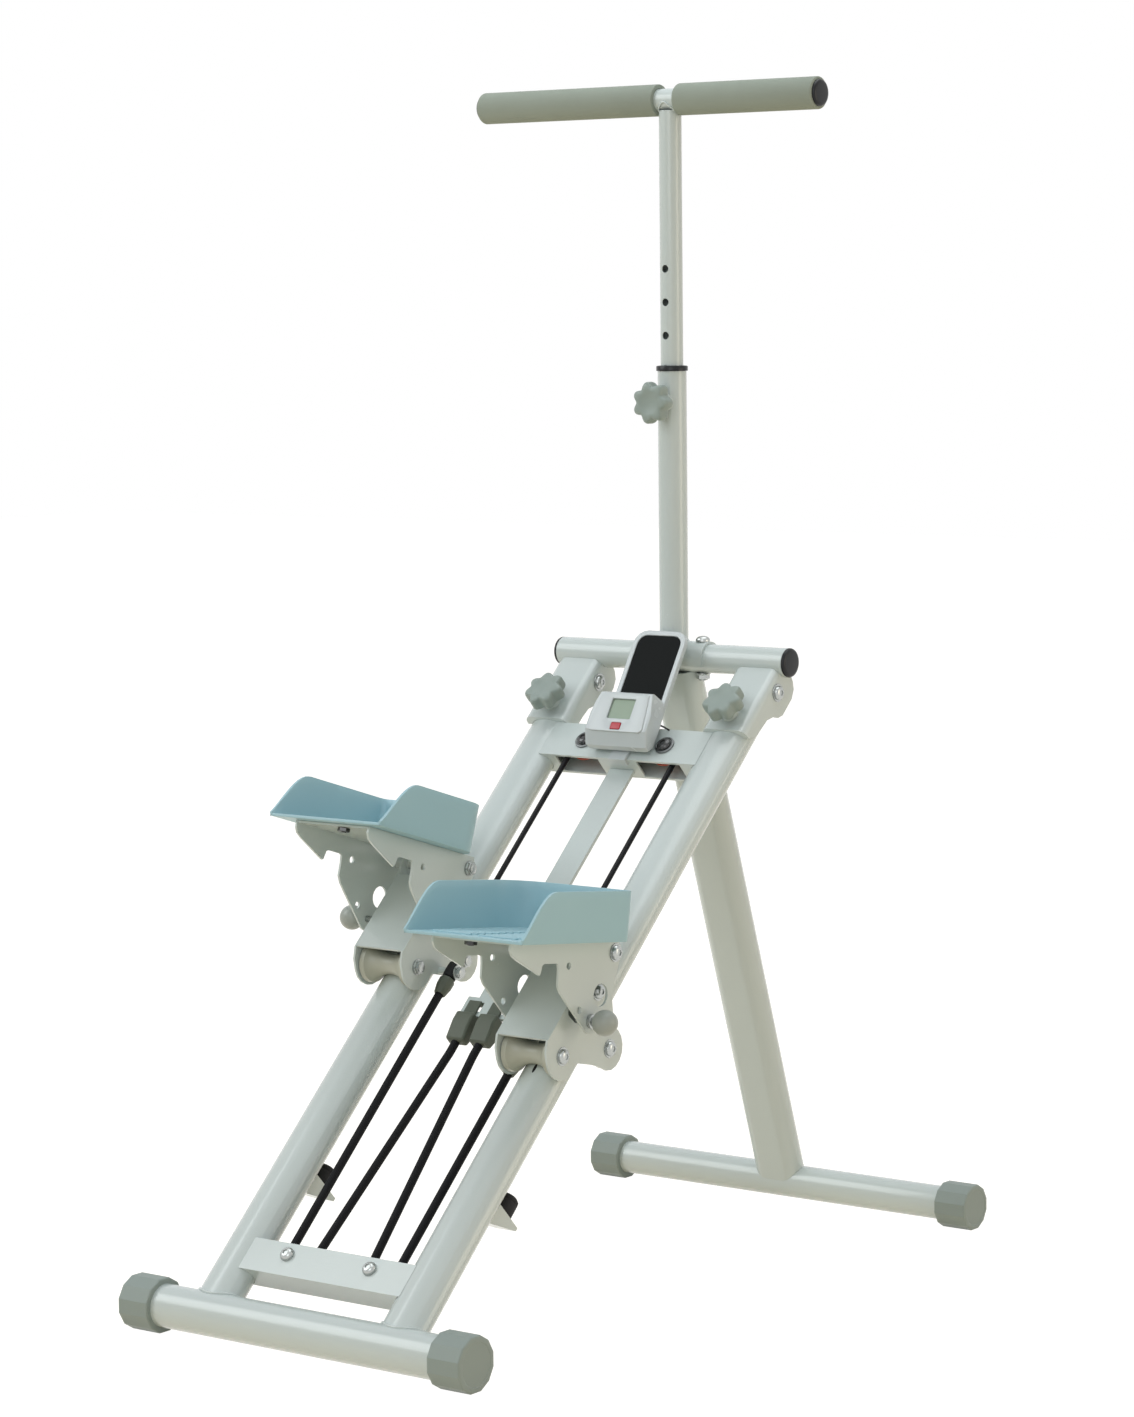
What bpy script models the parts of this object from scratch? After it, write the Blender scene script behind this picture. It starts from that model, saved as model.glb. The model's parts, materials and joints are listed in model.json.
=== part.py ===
"""A folding stair climber: an A-frame with two inclined rails, on which two roller carriages
carry the foot trays. A cable over two pulleys joins the carriages, so one rises as the other
falls, and an elastic cord round a lower pulley pulls each one back. Metres, +Z up. The user
faces +Y, and the origin is on the floor below the middle of the object's box."""

import math

import bmesh
import bpy
from mathutils import Matrix, Vector

for item in list(bpy.data.objects):
    bpy.data.objects.remove(item)

# Overall sizes
RAIL_ANGLE = math.radians(43)
RAIL_REACH = 0.868  # along the rail, from the front foot's axis to the fold pivot
RAIL_SPACING = 0.241  # between the centre lines of the two rails
HEAD_ALONG = 0.034  # from the fold pivot to the head crossbar, along the rail
HEAD_OUT = 0.0115  # and square to it
LEG_REACH = 0.2105  # the rear foot's axis stands this far behind the head crossbar
BAR_ABOVE_HEAD = 0.612  # the handlebar's axis above the head crossbar's axis
STEM_ABOVE_HEAD = 0.316  # the top of the outer stem above the same axis
FRONT_FOOT_LENGTH = 0.446
REAR_FOOT_LENGTH = 0.524
HEAD_LENGTH = RAIL_SPACING + 0.073
BAR_LEFT = 0.260  # the stem stands off the middle of the handlebar
BAR_RIGHT = 0.199

# Tubes
WALL = 0.002
BAR_WALL = 0.0015
RAIL_HALF_WIDTH = 0.026
RAIL_HALF_DEPTH = 0.018
FRONT_TUBE_R = 0.0225
REAR_TUBE_R = 0.019
HEAD_TUBE_R = 0.016
STEM_R = 0.016
INNER_STEM_R = 0.0125
BAR_R = 0.0125
GRIP_R = 0.0175
LEG_HALF_WIDTH = 0.030
LEG_HALF_DEPTH = 0.017
GAP = 0.0003  # between pieces that touch
RUNNING = 0.0003  # round a shaft or a roller

# Foot caps, twelve-sided so that they stand on a flat
CAP_SIDES = 12
FRONT_CAP_FLAT = 0.028
REAR_CAP_FLAT = 0.0252
CAP_LENGTH = 0.040
CAP_END = 0.004

# Fold bracket over the top of each rail
SHEET = 0.0025
PIVOT_OUT = 0.003
NOSE_R = 0.009
NOSE_STEP = 0.006  # the rail keeps its full section up to here below the pivot
SLEEVE_CORNER_R = 0.010
BRACKET_BELOW_PIVOT = 0.0715
FOLD_KNOB_BELOW_PIVOT = 0.049
BOSS_R = 0.0105  # the welded boss that a star knob stands on
FOLD_BOSS_H = 0.006
STEM_BOSS_H = 0.008
BOLT_R = 0.004
BOLT_HEAD_R = 0.0075
BOLT_HEAD_H = 0.0045

# Cross members between the rails
CROSS_HALF_DEPTH = 0.015
UPPER_CROSS_S = 0.773
UPPER_CROSS_HALF = 0.0233
LOWER_CROSS_S = 0.069
LOWER_CROSS_HALF = 0.019
LOWER_PULLEY_UP = 0.005  # its pulleys sit above its middle
PULLEY_X = 0.054
STRAND_R = 0.017  # from a pulley's axis to the middle of its cable or cord
CABLE_N = 0.0075
CORD_N = -0.004
PULLEY_R = 0.0185
UPPER_PULLEY_HALF = 0.005
LOWER_PULLEY_HALF = 0.007
SLOT_IN = 0.028  # the pulley slot, to each side of the pulley's axis
SLOT_OUT = 0.030
SLOT_HALF = 0.0122
CABLE_R = 0.003
CORD_R = 0.0045
CENTRE_BAR_WIDTH = 0.032
CENTRE_BAR_THICK = 0.004
HOOK_PLATE_S = 0.415
HOOK_PLATE_WIDTH = 0.060
HOOK_PLATE_HALF = 0.012
HOOK_X = 0.0155
HOOK_LENGTH = 0.034
HOOK_HALF = 0.012
HOOK_TOP_S = HOOK_PLATE_S - HOOK_PLATE_HALF - 0.0005

# Bumpers at the lower end of the rails
BUMPER_S = 0.193
BUMPER_R = 0.012
BUMPER_H = 0.022
BUMPER_OUT = 0.041
LEDGE_HALF = 0.0125
LEDGE_RUN = 0.026
LEDGE_THICK = 0.004
LEDGE_BEYOND = 0.020

# Carriage, measured from the axis of its lower front roller
RIGHT_CARRIAGE_S = 0.346
LEFT_CARRIAGE_S = 0.435
PLATE_INNER_X = RAIL_HALF_WIDTH + 0.0047
ROLLER_OFFSET = RAIL_HALF_DEPTH + 0.011  # a roller's axis from the rail's centre line
ROLLER_HALF = PLATE_INNER_X - 0.0012
ROLLER_FLANGE_R = 0.022
ROLLER_SEGMENTS = 18
REAR_ROLLER_U = 0.056
UPPER_ROLLER_U = 0.085
PEDAL_PIVOT_U = 0.118
PEDAL_PIVOT_W = 0.054
WEB_W = 0.060
WEB_TOP_U = 0.098
ANCHOR_U = 0.022
CABLE_ANCHOR_U = 0.087
EYE_HALF = 0.009
CORD_EYE_R = 0.0075
CABLE_EYE_R = 0.006

# Pedal, measured from its pivot, with y along the tray and z up from it
RIGHT_TILT = math.radians(-6.5)
LEFT_TILT = math.radians(-16.8)
CHEEK_INNER_X = PLATE_INNER_X + 0.0168
CHEEK_SHEET = 0.0025
PEDAL_WEB_Z = 0.0130
PIN_RADIUS = 0.078
PIN_ANGLE = math.radians(242.5)
PIN_R = 0.0035
BALL_R = 0.0135
TRAY_WIDTH = 0.152
TRAY_LENGTH = 0.182
TRAY_HEEL_Y = -0.190
TRAY_HEIGHT = 0.052
TRAY_WALL = 0.003

# Console, on the front of the upper cross member
CONSOLE_X = 0.004
CONSOLE_S = 0.764
CONSOLE_OUT = 0.043
CONSOLE_TILT = math.radians(15)  # steeper than the rail
CONSOLE_WIDTH = 0.084
CONSOLE_HEIGHT = 0.050
CONSOLE_DEPTH = 0.024
CONSOLE_TAPER = 0.009
CLIP_HALF = 0.011
WINDOW_HALF_X = 0.0155
WINDOW_LOW = 0.0165
WINDOW_HIGH = 0.0405
WINDOW_DEPTH = 0.003
BUTTON_HALF_X = 0.0065
BUTTON_HALF_Y = 0.004
BUTTON_Y = 0.0075
REST_WIDTH = 0.070
REST_LENGTH = 0.118
REST_THICK = 0.006
REST_LOW = CONSOLE_HEIGHT - 0.030
REST_CORNER_R = 0.016
PAD_INSET = 0.006
PAD_CORNER_R = 0.011
PAD_DEPTH = 0.002

# Stem and handlebar
SADDLE_BOLT_X = 0.039
SADDLE_HALF = 0.049
LEG_TOP_TRIM = 0.013  # below the crossbar's axis, clear of the saddle
KNOB_ABOVE_HEAD = 0.282
INNER_STEM_LOW = 0.176
HOLE_PITCH = 0.0365
BARE_HALF = 0.0135
BAR_CAP_R = 0.0145
TUBE_CAP_END = 0.004  # how far a plug's head stands off the tube that it closes
PLUG_DEPTH = 0.012

KNOB_R = 0.0215
KNOB_HEIGHT = 0.017
ROUND = 24
OVAL_POINTS = 24

# The frame's own directions: s runs up the rail, n stands square to it on the user's side
ALONG = Vector((0, math.cos(RAIL_ANGLE), math.sin(RAIL_ANGLE)))
OUT = Vector((0, -math.sin(RAIL_ANGLE), math.cos(RAIL_ANGLE)))
RAIL_X = RAIL_SPACING / 2
STRAND_X = PULLEY_X + STRAND_R


def reach(s, n):
    return s * ALONG + n * OUT


head_from_foot = reach(RAIL_REACH + HEAD_ALONG, PIVOT_OUT + HEAD_OUT)
BOX_DEPTH = FRONT_CAP_FLAT + head_from_foot.y + LEG_REACH + REAR_CAP_FLAT
FOOT = Vector((0, FRONT_CAP_FLAT - BOX_DEPTH / 2, FRONT_CAP_FLAT))
HEAD = FOOT + head_from_foot
REAR_FOOT = Vector((0, HEAD.y + LEG_REACH, REAR_CAP_FLAT))


def on_rail(x, s, n):
    """A point by its place across the frame, up the rail and square to it."""
    return FOOT + Vector((x, 0, 0)) + reach(s, n)


FOLD_PIVOT = on_rail(0, RAIL_REACH, PIVOT_OUT)


def material(name, colour, roughness=0.4, metallic=0.0):
    made = bpy.data.materials.new(name)
    made.use_nodes = True
    shader = made.node_tree.nodes["Principled BSDF"]
    shader.inputs["Base Color"].default_value = (*colour, 1)
    shader.inputs["Roughness"].default_value = roughness
    shader.inputs["Metallic"].default_value = metallic
    made.diffuse_color = (*colour, 1)
    return made


WHITE = material("white_paint", (0.71, 0.76, 0.74), 0.25)
ROLLER = material("roller_plastic", (0.62, 0.63, 0.58), 0.4)
CAP_GREY = material("cap_plastic", (0.32, 0.36, 0.34), 0.55)
BLACK = material("black_plastic", (0.015, 0.018, 0.022), 0.35)
RUBBER = material("black_rubber", (0.02, 0.02, 0.022), 0.7)
FOAM = material("grip_foam", (0.40, 0.40, 0.33), 0.85)
KNOB_GREY = material("knob_plastic", (0.37, 0.41, 0.39), 0.45)
BLUE = material("tray_plastic", (0.28, 0.44, 0.50), 0.45)
PULLEY_RED = material("pulley_plastic", (0.55, 0.07, 0.02), 0.4)
HOOK_GREY = material("hook_plastic", (0.12, 0.14, 0.12), 0.5)
ZINC = material("zinc_steel", (0.6, 0.6, 0.58), 0.3, 1.0)
CONSOLE_WHITE = material("console_plastic", (0.62, 0.68, 0.71), 0.35)
DISPLAY = material("display_window", (0.37, 0.45, 0.33), 0.2)
BUTTON_RED = material("button_plastic", (0.50, 0.03, 0.05), 0.4)


def finished(name, bm, paint, place, turn=0.0, helper=False):
    """An object from a bmesh, placed by its location and its turn about X."""
    bmesh.ops.remove_doubles(bm, verts=bm.verts, dist=1e-6)
    bmesh.ops.recalc_face_normals(bm, faces=bm.faces)
    mesh = bpy.data.meshes.new(name)
    bm.to_mesh(mesh)
    bm.free()
    mesh.materials.append(paint)
    mesh.shade_smooth()
    mesh.set_sharp_from_angle(angle=math.radians(35))
    made = bpy.data.objects.new(name, mesh)
    bpy.context.scene.collection.objects.link(made)
    made.location = place
    made.rotation_euler = (turn, 0, 0)
    if helper:
        made.hide_render = True
        made.display_type = "WIRE"
    return made


def boolean(target, other, operation):
    step = target.modifiers.new(other.name, "BOOLEAN")
    step.operation = operation
    step.solver = "EXACT"
    step.object = other
    other.hide_render = True
    other.display_type = "WIRE"


def cut(target, *others):
    for other in others:
        boolean(target, other, "DIFFERENCE")


def join(target, *others):
    for other in others:
        boolean(target, other, "UNION")


# Where an outline's two values and its height go, for each axis of extrusion
PLACES = {
    "X": lambda a, b, c: (c, a, b),
    "Y": lambda a, b, c: (a, c, b),
    "Z": lambda a, b, c: (a, b, c),
}


def prism(outline, low, high, axis):
    """A solid from an outline in the two other axes' plane, extruded along X, Y or Z."""
    bm = bmesh.new()
    place = PLACES[axis]
    ends = [[bm.verts.new(place(a, b, c)) for a, b in outline] for c in (low, high)]
    for ring in ends:
        bm.faces.new(ring)
    for i in range(len(outline)):
        j = (i + 1) % len(outline)
        bm.faces.new((ends[0][i], ends[0][j], ends[1][j], ends[1][i]))
    return bm


def hollow(outer, inner, low, high, axis):
    """An open-ended tube between two outlines of as many points."""
    bm = bmesh.new()
    place = PLACES[axis]
    rings = [
        [bm.verts.new(place(a, b, c)) for a, b in outline]
        for outline, c in ((outer, low), (outer, high), (inner, high), (inner, low))
    ]
    for k in range(4):
        near, far = rings[k], rings[(k + 1) % 4]
        for i in range(len(outer)):
            j = (i + 1) % len(outer)
            bm.faces.new((near[i], near[j], far[j], far[i]))
    return bm


def turned(profile, segments=ROUND, axis="X"):
    """A solid of revolution. The profile is (radius, along) points; radius 0 lies on the axis."""
    bm = bmesh.new()
    rings = []
    for radius, along in profile:
        if radius == 0:
            rings.append([bm.verts.new((along, 0, 0))])
            continue
        angles = [2 * math.pi * i / segments for i in range(segments)]
        rings.append([bm.verts.new((along, radius * math.cos(a), radius * math.sin(a))) for a in angles])
    closed = profile[0][0] > 0
    for k in range(len(rings) if closed else len(rings) - 1):
        near, far = rings[k], rings[(k + 1) % len(rings)]
        for i in range(segments):
            j = (i + 1) % segments
            corners = [near[i % len(near)], near[j % len(near)], far[j % len(far)], far[i % len(far)]]
            bm.faces.new(list(dict.fromkeys(corners)))
    turns = {
        "X": Matrix.Identity(4),
        "Y": Matrix.Rotation(math.pi / 2, 4, "Z"),
        "Z": Matrix.Rotation(-math.pi / 2, 4, "Y"),
    }
    bmesh.ops.transform(bm, matrix=turns[axis], verts=bm.verts)
    return bm


def rod(radius, low, high, axis="X", segments=ROUND):
    return turned([(0, low), (radius, low), (radius, high), (0, high)], segments, axis)


def bolt(low, high, head_low=True, head_high=True, axis="X", radius=BOLT_R, head=BOLT_HEAD_R):
    """A bolt's shank from low to high, with a domed head outside each end that has one."""
    dome = [(head, 0.0), (head, 0.4), (0.6 * head, 1.0)]
    profile = [(0, low - BOLT_HEAD_H if head_low else low)]
    if head_low:
        profile += [(r, low - h * BOLT_HEAD_H) for r, h in reversed(dome)]
    profile += [(radius, low), (radius, high)]
    if head_high:
        profile += [(r, high + h * BOLT_HEAD_H) for r, h in dome]
    profile.append((0, high + BOLT_HEAD_H if head_high else high))
    return turned(profile, 12, axis)


def circle(radius, count, centre=(0, 0), start=0.0, end=2 * math.pi, closed=True):
    steps = count if closed else count - 1
    angles = [start + (end - start) * i / steps for i in range(count)]
    return [(centre[0] + radius * math.cos(a), centre[1] + radius * math.sin(a)) for a in angles]


def oval(half_width, half_depth, count=OVAL_POINTS):
    return [
        (half_width * math.cos(2 * math.pi * i / count), half_depth * math.sin(2 * math.pi * i / count))
        for i in range(count)
    ]


def round_tube(radius, low, high, axis, wall=WALL):
    return hollow(circle(radius, ROUND), circle(radius - wall, ROUND), low, high, axis)


def stadium(half_width, half_depth, count=24):
    """A flat-sided tube's outline with round ends."""
    right = circle(half_depth, count // 2, (half_width - half_depth, 0), -math.pi / 2, math.pi / 2, False)
    left = circle(half_depth, count // 2, (half_depth - half_width, 0), math.pi / 2, 1.5 * math.pi, False)
    return right + left


def box(x, y, z):
    """A block from its three (low, high) pairs."""
    return prism([(x[0], y[0]), (x[1], y[0]), (x[1], y[1]), (x[0], y[1])], z[0], z[1], "Z")


def bevel(target, width, segments=2, angle=math.radians(40)):
    step = target.modifiers.new("rounding", "BEVEL")
    step.width = width
    step.segments = segments
    step.limit_method = "ANGLE"
    step.angle_limit = angle


def cutter(name, bm, place, turn=0.0):
    return finished(name, bm, WHITE, place, turn, helper=True)


# Feet

def foot(prefix, centre, length, tube_r, flat):
    half = length / 2 - CAP_END
    tube = round_tube(tube_r, -half + GAP, half - GAP, "X")
    finished(prefix + "_foot_tube", tube, WHITE, centre)
    corner = flat / math.cos(math.pi / CAP_SIDES)
    half_side = math.pi / CAP_SIDES
    outline = circle(corner, CAP_SIDES, start=half_side, end=2 * math.pi + half_side)
    for side, label in ((-1, "left"), (1, "right")):
        ends = sorted((side * (length / 2 - CAP_LENGTH), side * length / 2))
        cap = finished(f"{prefix}_foot_cap_{label}", prism(outline, *ends, "X"), CAP_GREY, centre)
        bevel(cap, 0.0015, 1)
        pocket = sorted((side * (length / 2 - CAP_LENGTH - 0.01), side * half))
        cut(cap, cutter(f"pocket_{cap.name}", rod(tube_r + GAP, *pocket), centre))


foot("front", FOOT, FRONT_FOOT_LENGTH, FRONT_TUBE_R, FRONT_CAP_FLAT)
foot("rear", REAR_FOOT, REAR_FOOT_LENGTH, REAR_TUBE_R, REAR_CAP_FLAT)


# Rails, coped to the front foot and rounded round the fold pivot at the top

def rail(side, label):
    base = FOOT + Vector((side * RAIL_X, 0, 0))
    outer = oval(RAIL_HALF_WIDTH, RAIL_HALF_DEPTH)
    inner = oval(RAIL_HALF_WIDTH - WALL, RAIL_HALF_DEPTH - WALL)
    bm = hollow(outer, inner, 0, RAIL_REACH + NOSE_R, "Z")
    upright_to_y = Matrix(((1, 0, 0, 0), (0, 0, 1, 0), (0, 1, 0, 0), (0, 0, 0, 1)))
    bmesh.ops.transform(bm, matrix=upright_to_y, verts=bm.verts)
    made = finished(f"{label}_rail", bm, WHITE, base, RAIL_ANGLE)
    step = NOSE_STEP
    drop = math.sqrt(NOSE_R**2 - step**2)
    half_turn = math.pi - math.asin(drop / NOSE_R)
    nose = circle(NOSE_R, 15, (RAIL_REACH, PIVOT_OUT), -half_turn, half_turn, False)
    far = 0.06
    waste = [(RAIL_REACH - step, -far)] + nose
    waste += [(RAIL_REACH - step, far), (RAIL_REACH + far, far), (RAIL_REACH + far, -far)]
    bore = rod(BOLT_R + RUNNING, -far, far, segments=16)
    cut(
        made,
        cutter(f"nose_cut_{label}", prism(waste, -far, far, "X"), base, RAIL_ANGLE),
        cutter(f"foot_cope_{label}", rod(FRONT_TUBE_R + GAP, -far, far), base),
        cutter(f"rail_bore_{label}", bore, base + reach(RAIL_REACH, PIVOT_OUT)),
    )
    root = -RAIL_HALF_DEPTH + WALL
    tip = -BUMPER_OUT - LEDGE_BEYOND
    wedge = [(BUMPER_S - LEDGE_RUN, root), (BUMPER_S - LEDGE_THICK, tip), (BUMPER_S, tip), (BUMPER_S, root)]
    ledge = prism(wedge, -LEDGE_HALF, LEDGE_HALF, "X")
    join(made, cutter(f"bumper_ledge_{label}", ledge, base, RAIL_ANGLE))
    edge = 0.003
    pad = [(0, 0), (BUMPER_R, 0), (BUMPER_R, BUMPER_H - edge), (BUMPER_R - edge, BUMPER_H), (0, BUMPER_H)]
    seat = base + reach(BUMPER_S + GAP, -BUMPER_OUT)
    finished(f"bumper_{label}", turned(pad, 20, "Y"), RUBBER, seat, RAIL_ANGLE)


for side, label in ((-1, "left"), (1, "right")):
    rail(side, label)


# Cross members with their pulleys

def cross_member(name, s, half, slot_side):
    """A box tube between the rails, slotted for its two pulleys, with their bolts fused in."""
    place = on_rail(0, s, 0)
    reach_x = RAIL_X - 0.5 * RAIL_HALF_WIDTH
    deep = CROSS_HALF_DEPTH
    outer = [(-half, -deep), (half, -deep), (half, deep), (-half, deep)]
    inner = [(math.copysign(abs(a) - WALL, a), math.copysign(abs(b) - WALL, b)) for a, b in outer]
    made = finished(name, hollow(outer, inner, -reach_x, reach_x, "X"), WHITE, place, RAIL_ANGLE)
    for side in (-1, 1):
        slot_x = sorted((side * (PULLEY_X - SLOT_IN), side * (PULLEY_X + SLOT_OUT)))
        slot_s = sorted((slot_side * (half - 0.5 * deep), slot_side * (half + 0.01)))
        slot = box(slot_x, slot_s, (-SLOT_HALF, SLOT_HALF))
        cut(made, cutter(f"slot_{name}_{side}", slot, place, RAIL_ANGLE))
        around = oval(RAIL_HALF_WIDTH + GAP, RAIL_HALF_DEPTH + GAP)
        cope = prism(around, -0.05, 0.05, "Y")
        beside = place + Vector((side * RAIL_X, 0, 0))
        cut(made, cutter(f"cope_{name}_{side}", cope, beside, RAIL_ANGLE))
    return made


def pulley(name, x, s, n, half, groove_r):
    lip = 0.0012
    below = [(BOLT_R + RUNNING, -half), (PULLEY_R, -half), (PULLEY_R, -half + lip), (groove_r, -0.5 * half)]
    profile = below + [(radius, -height) for radius, height in reversed(below)]
    finished(name, turned(profile, 20, "Z"), PULLEY_RED, on_rail(x, s, n), RAIL_ANGLE)


LOWER_PULLEY_S = LOWER_CROSS_S + LOWER_PULLEY_UP
for name, s, half, slot_side, pulley_s, n, width, strand in (
    ("upper", UPPER_CROSS_S, UPPER_CROSS_HALF, -1, UPPER_CROSS_S, CABLE_N, UPPER_PULLEY_HALF, CABLE_R),
    ("lower", LOWER_CROSS_S, LOWER_CROSS_HALF, 1, LOWER_PULLEY_S, CORD_N, LOWER_PULLEY_HALF, CORD_R),
):
    member = cross_member(name + "_cross_member", s, half, slot_side)
    for side, label in ((-1, "left"), (1, "right")):
        centre = on_rail(side * PULLEY_X, pulley_s, 0)
        pin = bolt(-CROSS_HALF_DEPTH, CROSS_HALF_DEPTH, axis="Z")
        join(member, cutter(f"{name}_pulley_bolt_{label}", pin, centre, RAIL_ANGLE))
        pulley(f"{name}_pulley_{label}", side * PULLEY_X, pulley_s, n, width, STRAND_R - strand - RUNNING)


# Centre bar, hung from the upper cross member, with the slotted plate that holds the cord hooks
bar_top = UPPER_CROSS_S - UPPER_CROSS_HALF - GAP
bar_half, bar_face = CENTRE_BAR_WIDTH / 2, CENTRE_BAR_THICK / 2
bar_shape = box((-bar_half, bar_half), (HOOK_PLATE_S, bar_top), (-bar_face, bar_face))
bar = finished("centre_bar", bar_shape, WHITE, on_rail(0, 0, CORD_N), RAIL_ANGLE)
plate_half = HOOK_PLATE_WIDTH / 2
plate_s = (HOOK_PLATE_S - HOOK_PLATE_HALF, HOOK_PLATE_S + HOOK_PLATE_HALF)
plate_face = bar_face + 0.0001  # proud of the bar, so that none of their faces lie in one plane
plate = box((-plate_half, plate_half), plate_s, (-plate_face, plate_face))
join(bar, cutter("hook_plate", plate, on_rail(0, 0, CORD_N), RAIL_ANGLE))
for side in (-1, 1):
    window = box((-0.010, 0.010), (-0.006, 0.006), (-0.01, 0.01))
    window_at = on_rail(side * HOOK_X, HOOK_PLATE_S, CORD_N)
    cut(bar, cutter(f"hook_window_{side}", window, window_at, RAIL_ANGLE))

# Cord hooks: tapered blocks whose tongue passes up through the plate's window
for side, label in ((-1, "left"), (1, "right")):
    hook_at = on_rail(side * HOOK_X, HOOK_TOP_S, CORD_N)
    front = [(-HOOK_LENGTH, 0.006), (-0.012, 0.011), (0, 0.011)]
    outline = [(s, -n) for s, n in front] + front[::-1]
    shape = prism(outline, -HOOK_HALF, HOOK_HALF, "X")
    block = finished(f"cord_hook_{label}", shape, HOOK_GREY, hook_at, RAIL_ANGLE)
    bevel(block, 0.002, 1)
    tongue = [(-0.004, 0.0023), (0.0155, 0.0023), (0.0155, -0.0035), (0.0182, -0.0035)]
    tongue += [(0.0182, 0.0053), (-0.004, 0.0053)]
    join(block, cutter(f"hook_tongue_{label}", prism(tongue, -0.008, 0.008, "X"), hook_at, RAIL_ANGLE))


# Cable and cords

def strand(name, points, n, radius, paint):
    curve = bpy.data.curves.new(name, "CURVE")
    curve.dimensions = "3D"
    curve.bevel_depth = radius
    curve.bevel_resolution = 1
    curve.use_fill_caps = True
    line = curve.splines.new("POLY")
    line.points.add(len(points) - 1)
    for point, (x, s) in zip(line.points, points):
        point.co = (*on_rail(x, s, n), 1)
    curve.materials.append(paint)
    made = bpy.data.objects.new(name, curve)
    bpy.context.scene.collection.objects.link(made)
    return made


def arc(x, s, start, end, count=9):
    return circle(STRAND_R, count, (x, s), math.radians(start), math.radians(end), False)


def carriage_s(side):
    return LEFT_CARRIAGE_S if side < 0 else RIGHT_CARRIAGE_S


def run(x, low, high, count=5):
    return [(x, low + (high - low) * i / (count - 1)) for i in range(count)]


left_end = LEFT_CARRIAGE_S + CABLE_ANCHOR_U + EYE_HALF + GAP
right_end = RIGHT_CARRIAGE_S + CABLE_ANCHOR_U + EYE_HALF + GAP
lift = run(-STRAND_X, left_end, UPPER_CROSS_S - 0.002)
lift += arc(-PULLEY_X, UPPER_CROSS_S, 180, 90)
lift += arc(PULLEY_X, UPPER_CROSS_S, 90, 0)
lift += run(STRAND_X, UPPER_CROSS_S - 0.002, right_end)
strand("lift_cable", lift, CABLE_N, CABLE_R, BLACK)

for side, label in ((-1, "left"), (1, "right")):
    top = carriage_s(side) + ANCHOR_U - EYE_HALF - GAP
    hook_end = HOOK_TOP_S - HOOK_LENGTH - GAP
    loop = arc(-PULLEY_X, LOWER_PULLEY_S, 180, 352, 12)
    leave = loop[-1]
    straight = hook_end - 0.014
    climb = []
    for i in range(1, 7):
        climb.append((leave[0] + (-HOOK_X - leave[0]) * i / 6, leave[1] + (straight - leave[1]) * i / 6))
    climb.append((-HOOK_X, hook_end))
    route = run(-STRAND_X, top, LOWER_PULLEY_S + 0.002) + loop + climb
    strand(f"elastic_cord_{label}", [(-side * x, s) for x, s in route], CORD_N, CORD_R, RUBBER)


# Carriages

def roller_profile():
    """Follows the rail's oval with a running gap, and ends in a flange on each side."""
    groove = [(ROLLER_OFFSET - RUNNING - n, x) for x, n in oval(RAIL_HALF_WIDTH, RAIL_HALF_DEPTH)]
    groove = groove[1:OVAL_POINTS // 2]
    while groove[1][0] > ROLLER_FLANGE_R:
        groove = groove[1:-1]
    (outer_r, outer_x), (inner_r, inner_x) = groove[0], groove[1]
    share = (ROLLER_FLANGE_R - inner_r) / (outer_r - inner_r)
    edge = inner_x + share * (outer_x - inner_x)
    groove = [(ROLLER_FLANGE_R, edge)] + groove[1:-1] + [(ROLLER_FLANGE_R, -edge)]
    bore = BOLT_R + RUNNING
    near_end = [(bore, ROLLER_HALF), (ROLLER_FLANGE_R, ROLLER_HALF)]
    far_end = [(ROLLER_FLANGE_R, -ROLLER_HALF), (bore, -ROLLER_HALF)]
    return near_end + groove + far_end


def carriage_outline():
    """The stamped side plate: a lobe round each lower roller, and an ear round the pedal pivot."""
    front = circle(0.025, 8, (0, ROLLER_OFFSET), math.radians(150), math.radians(292), False)
    hollow_edge = [(0.019, -0.008), (0.027, -0.020)]
    rear = circle(0.023, 10, (REAR_ROLLER_U, -ROLLER_OFFSET), math.radians(190), math.radians(385), False)
    neck = [(0.090, -0.002), (0.102, 0.014), (0.120, 0.030)]
    ear = circle(0.014, 8, (PEDAL_PIVOT_U, PEDAL_PIVOT_W), math.radians(-40), math.radians(125), False)
    return front + hollow_edge + rear + neck + ear + [(WEB_TOP_U, WEB_W), (-0.004, WEB_W), (-0.015, 0.052)]


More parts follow.
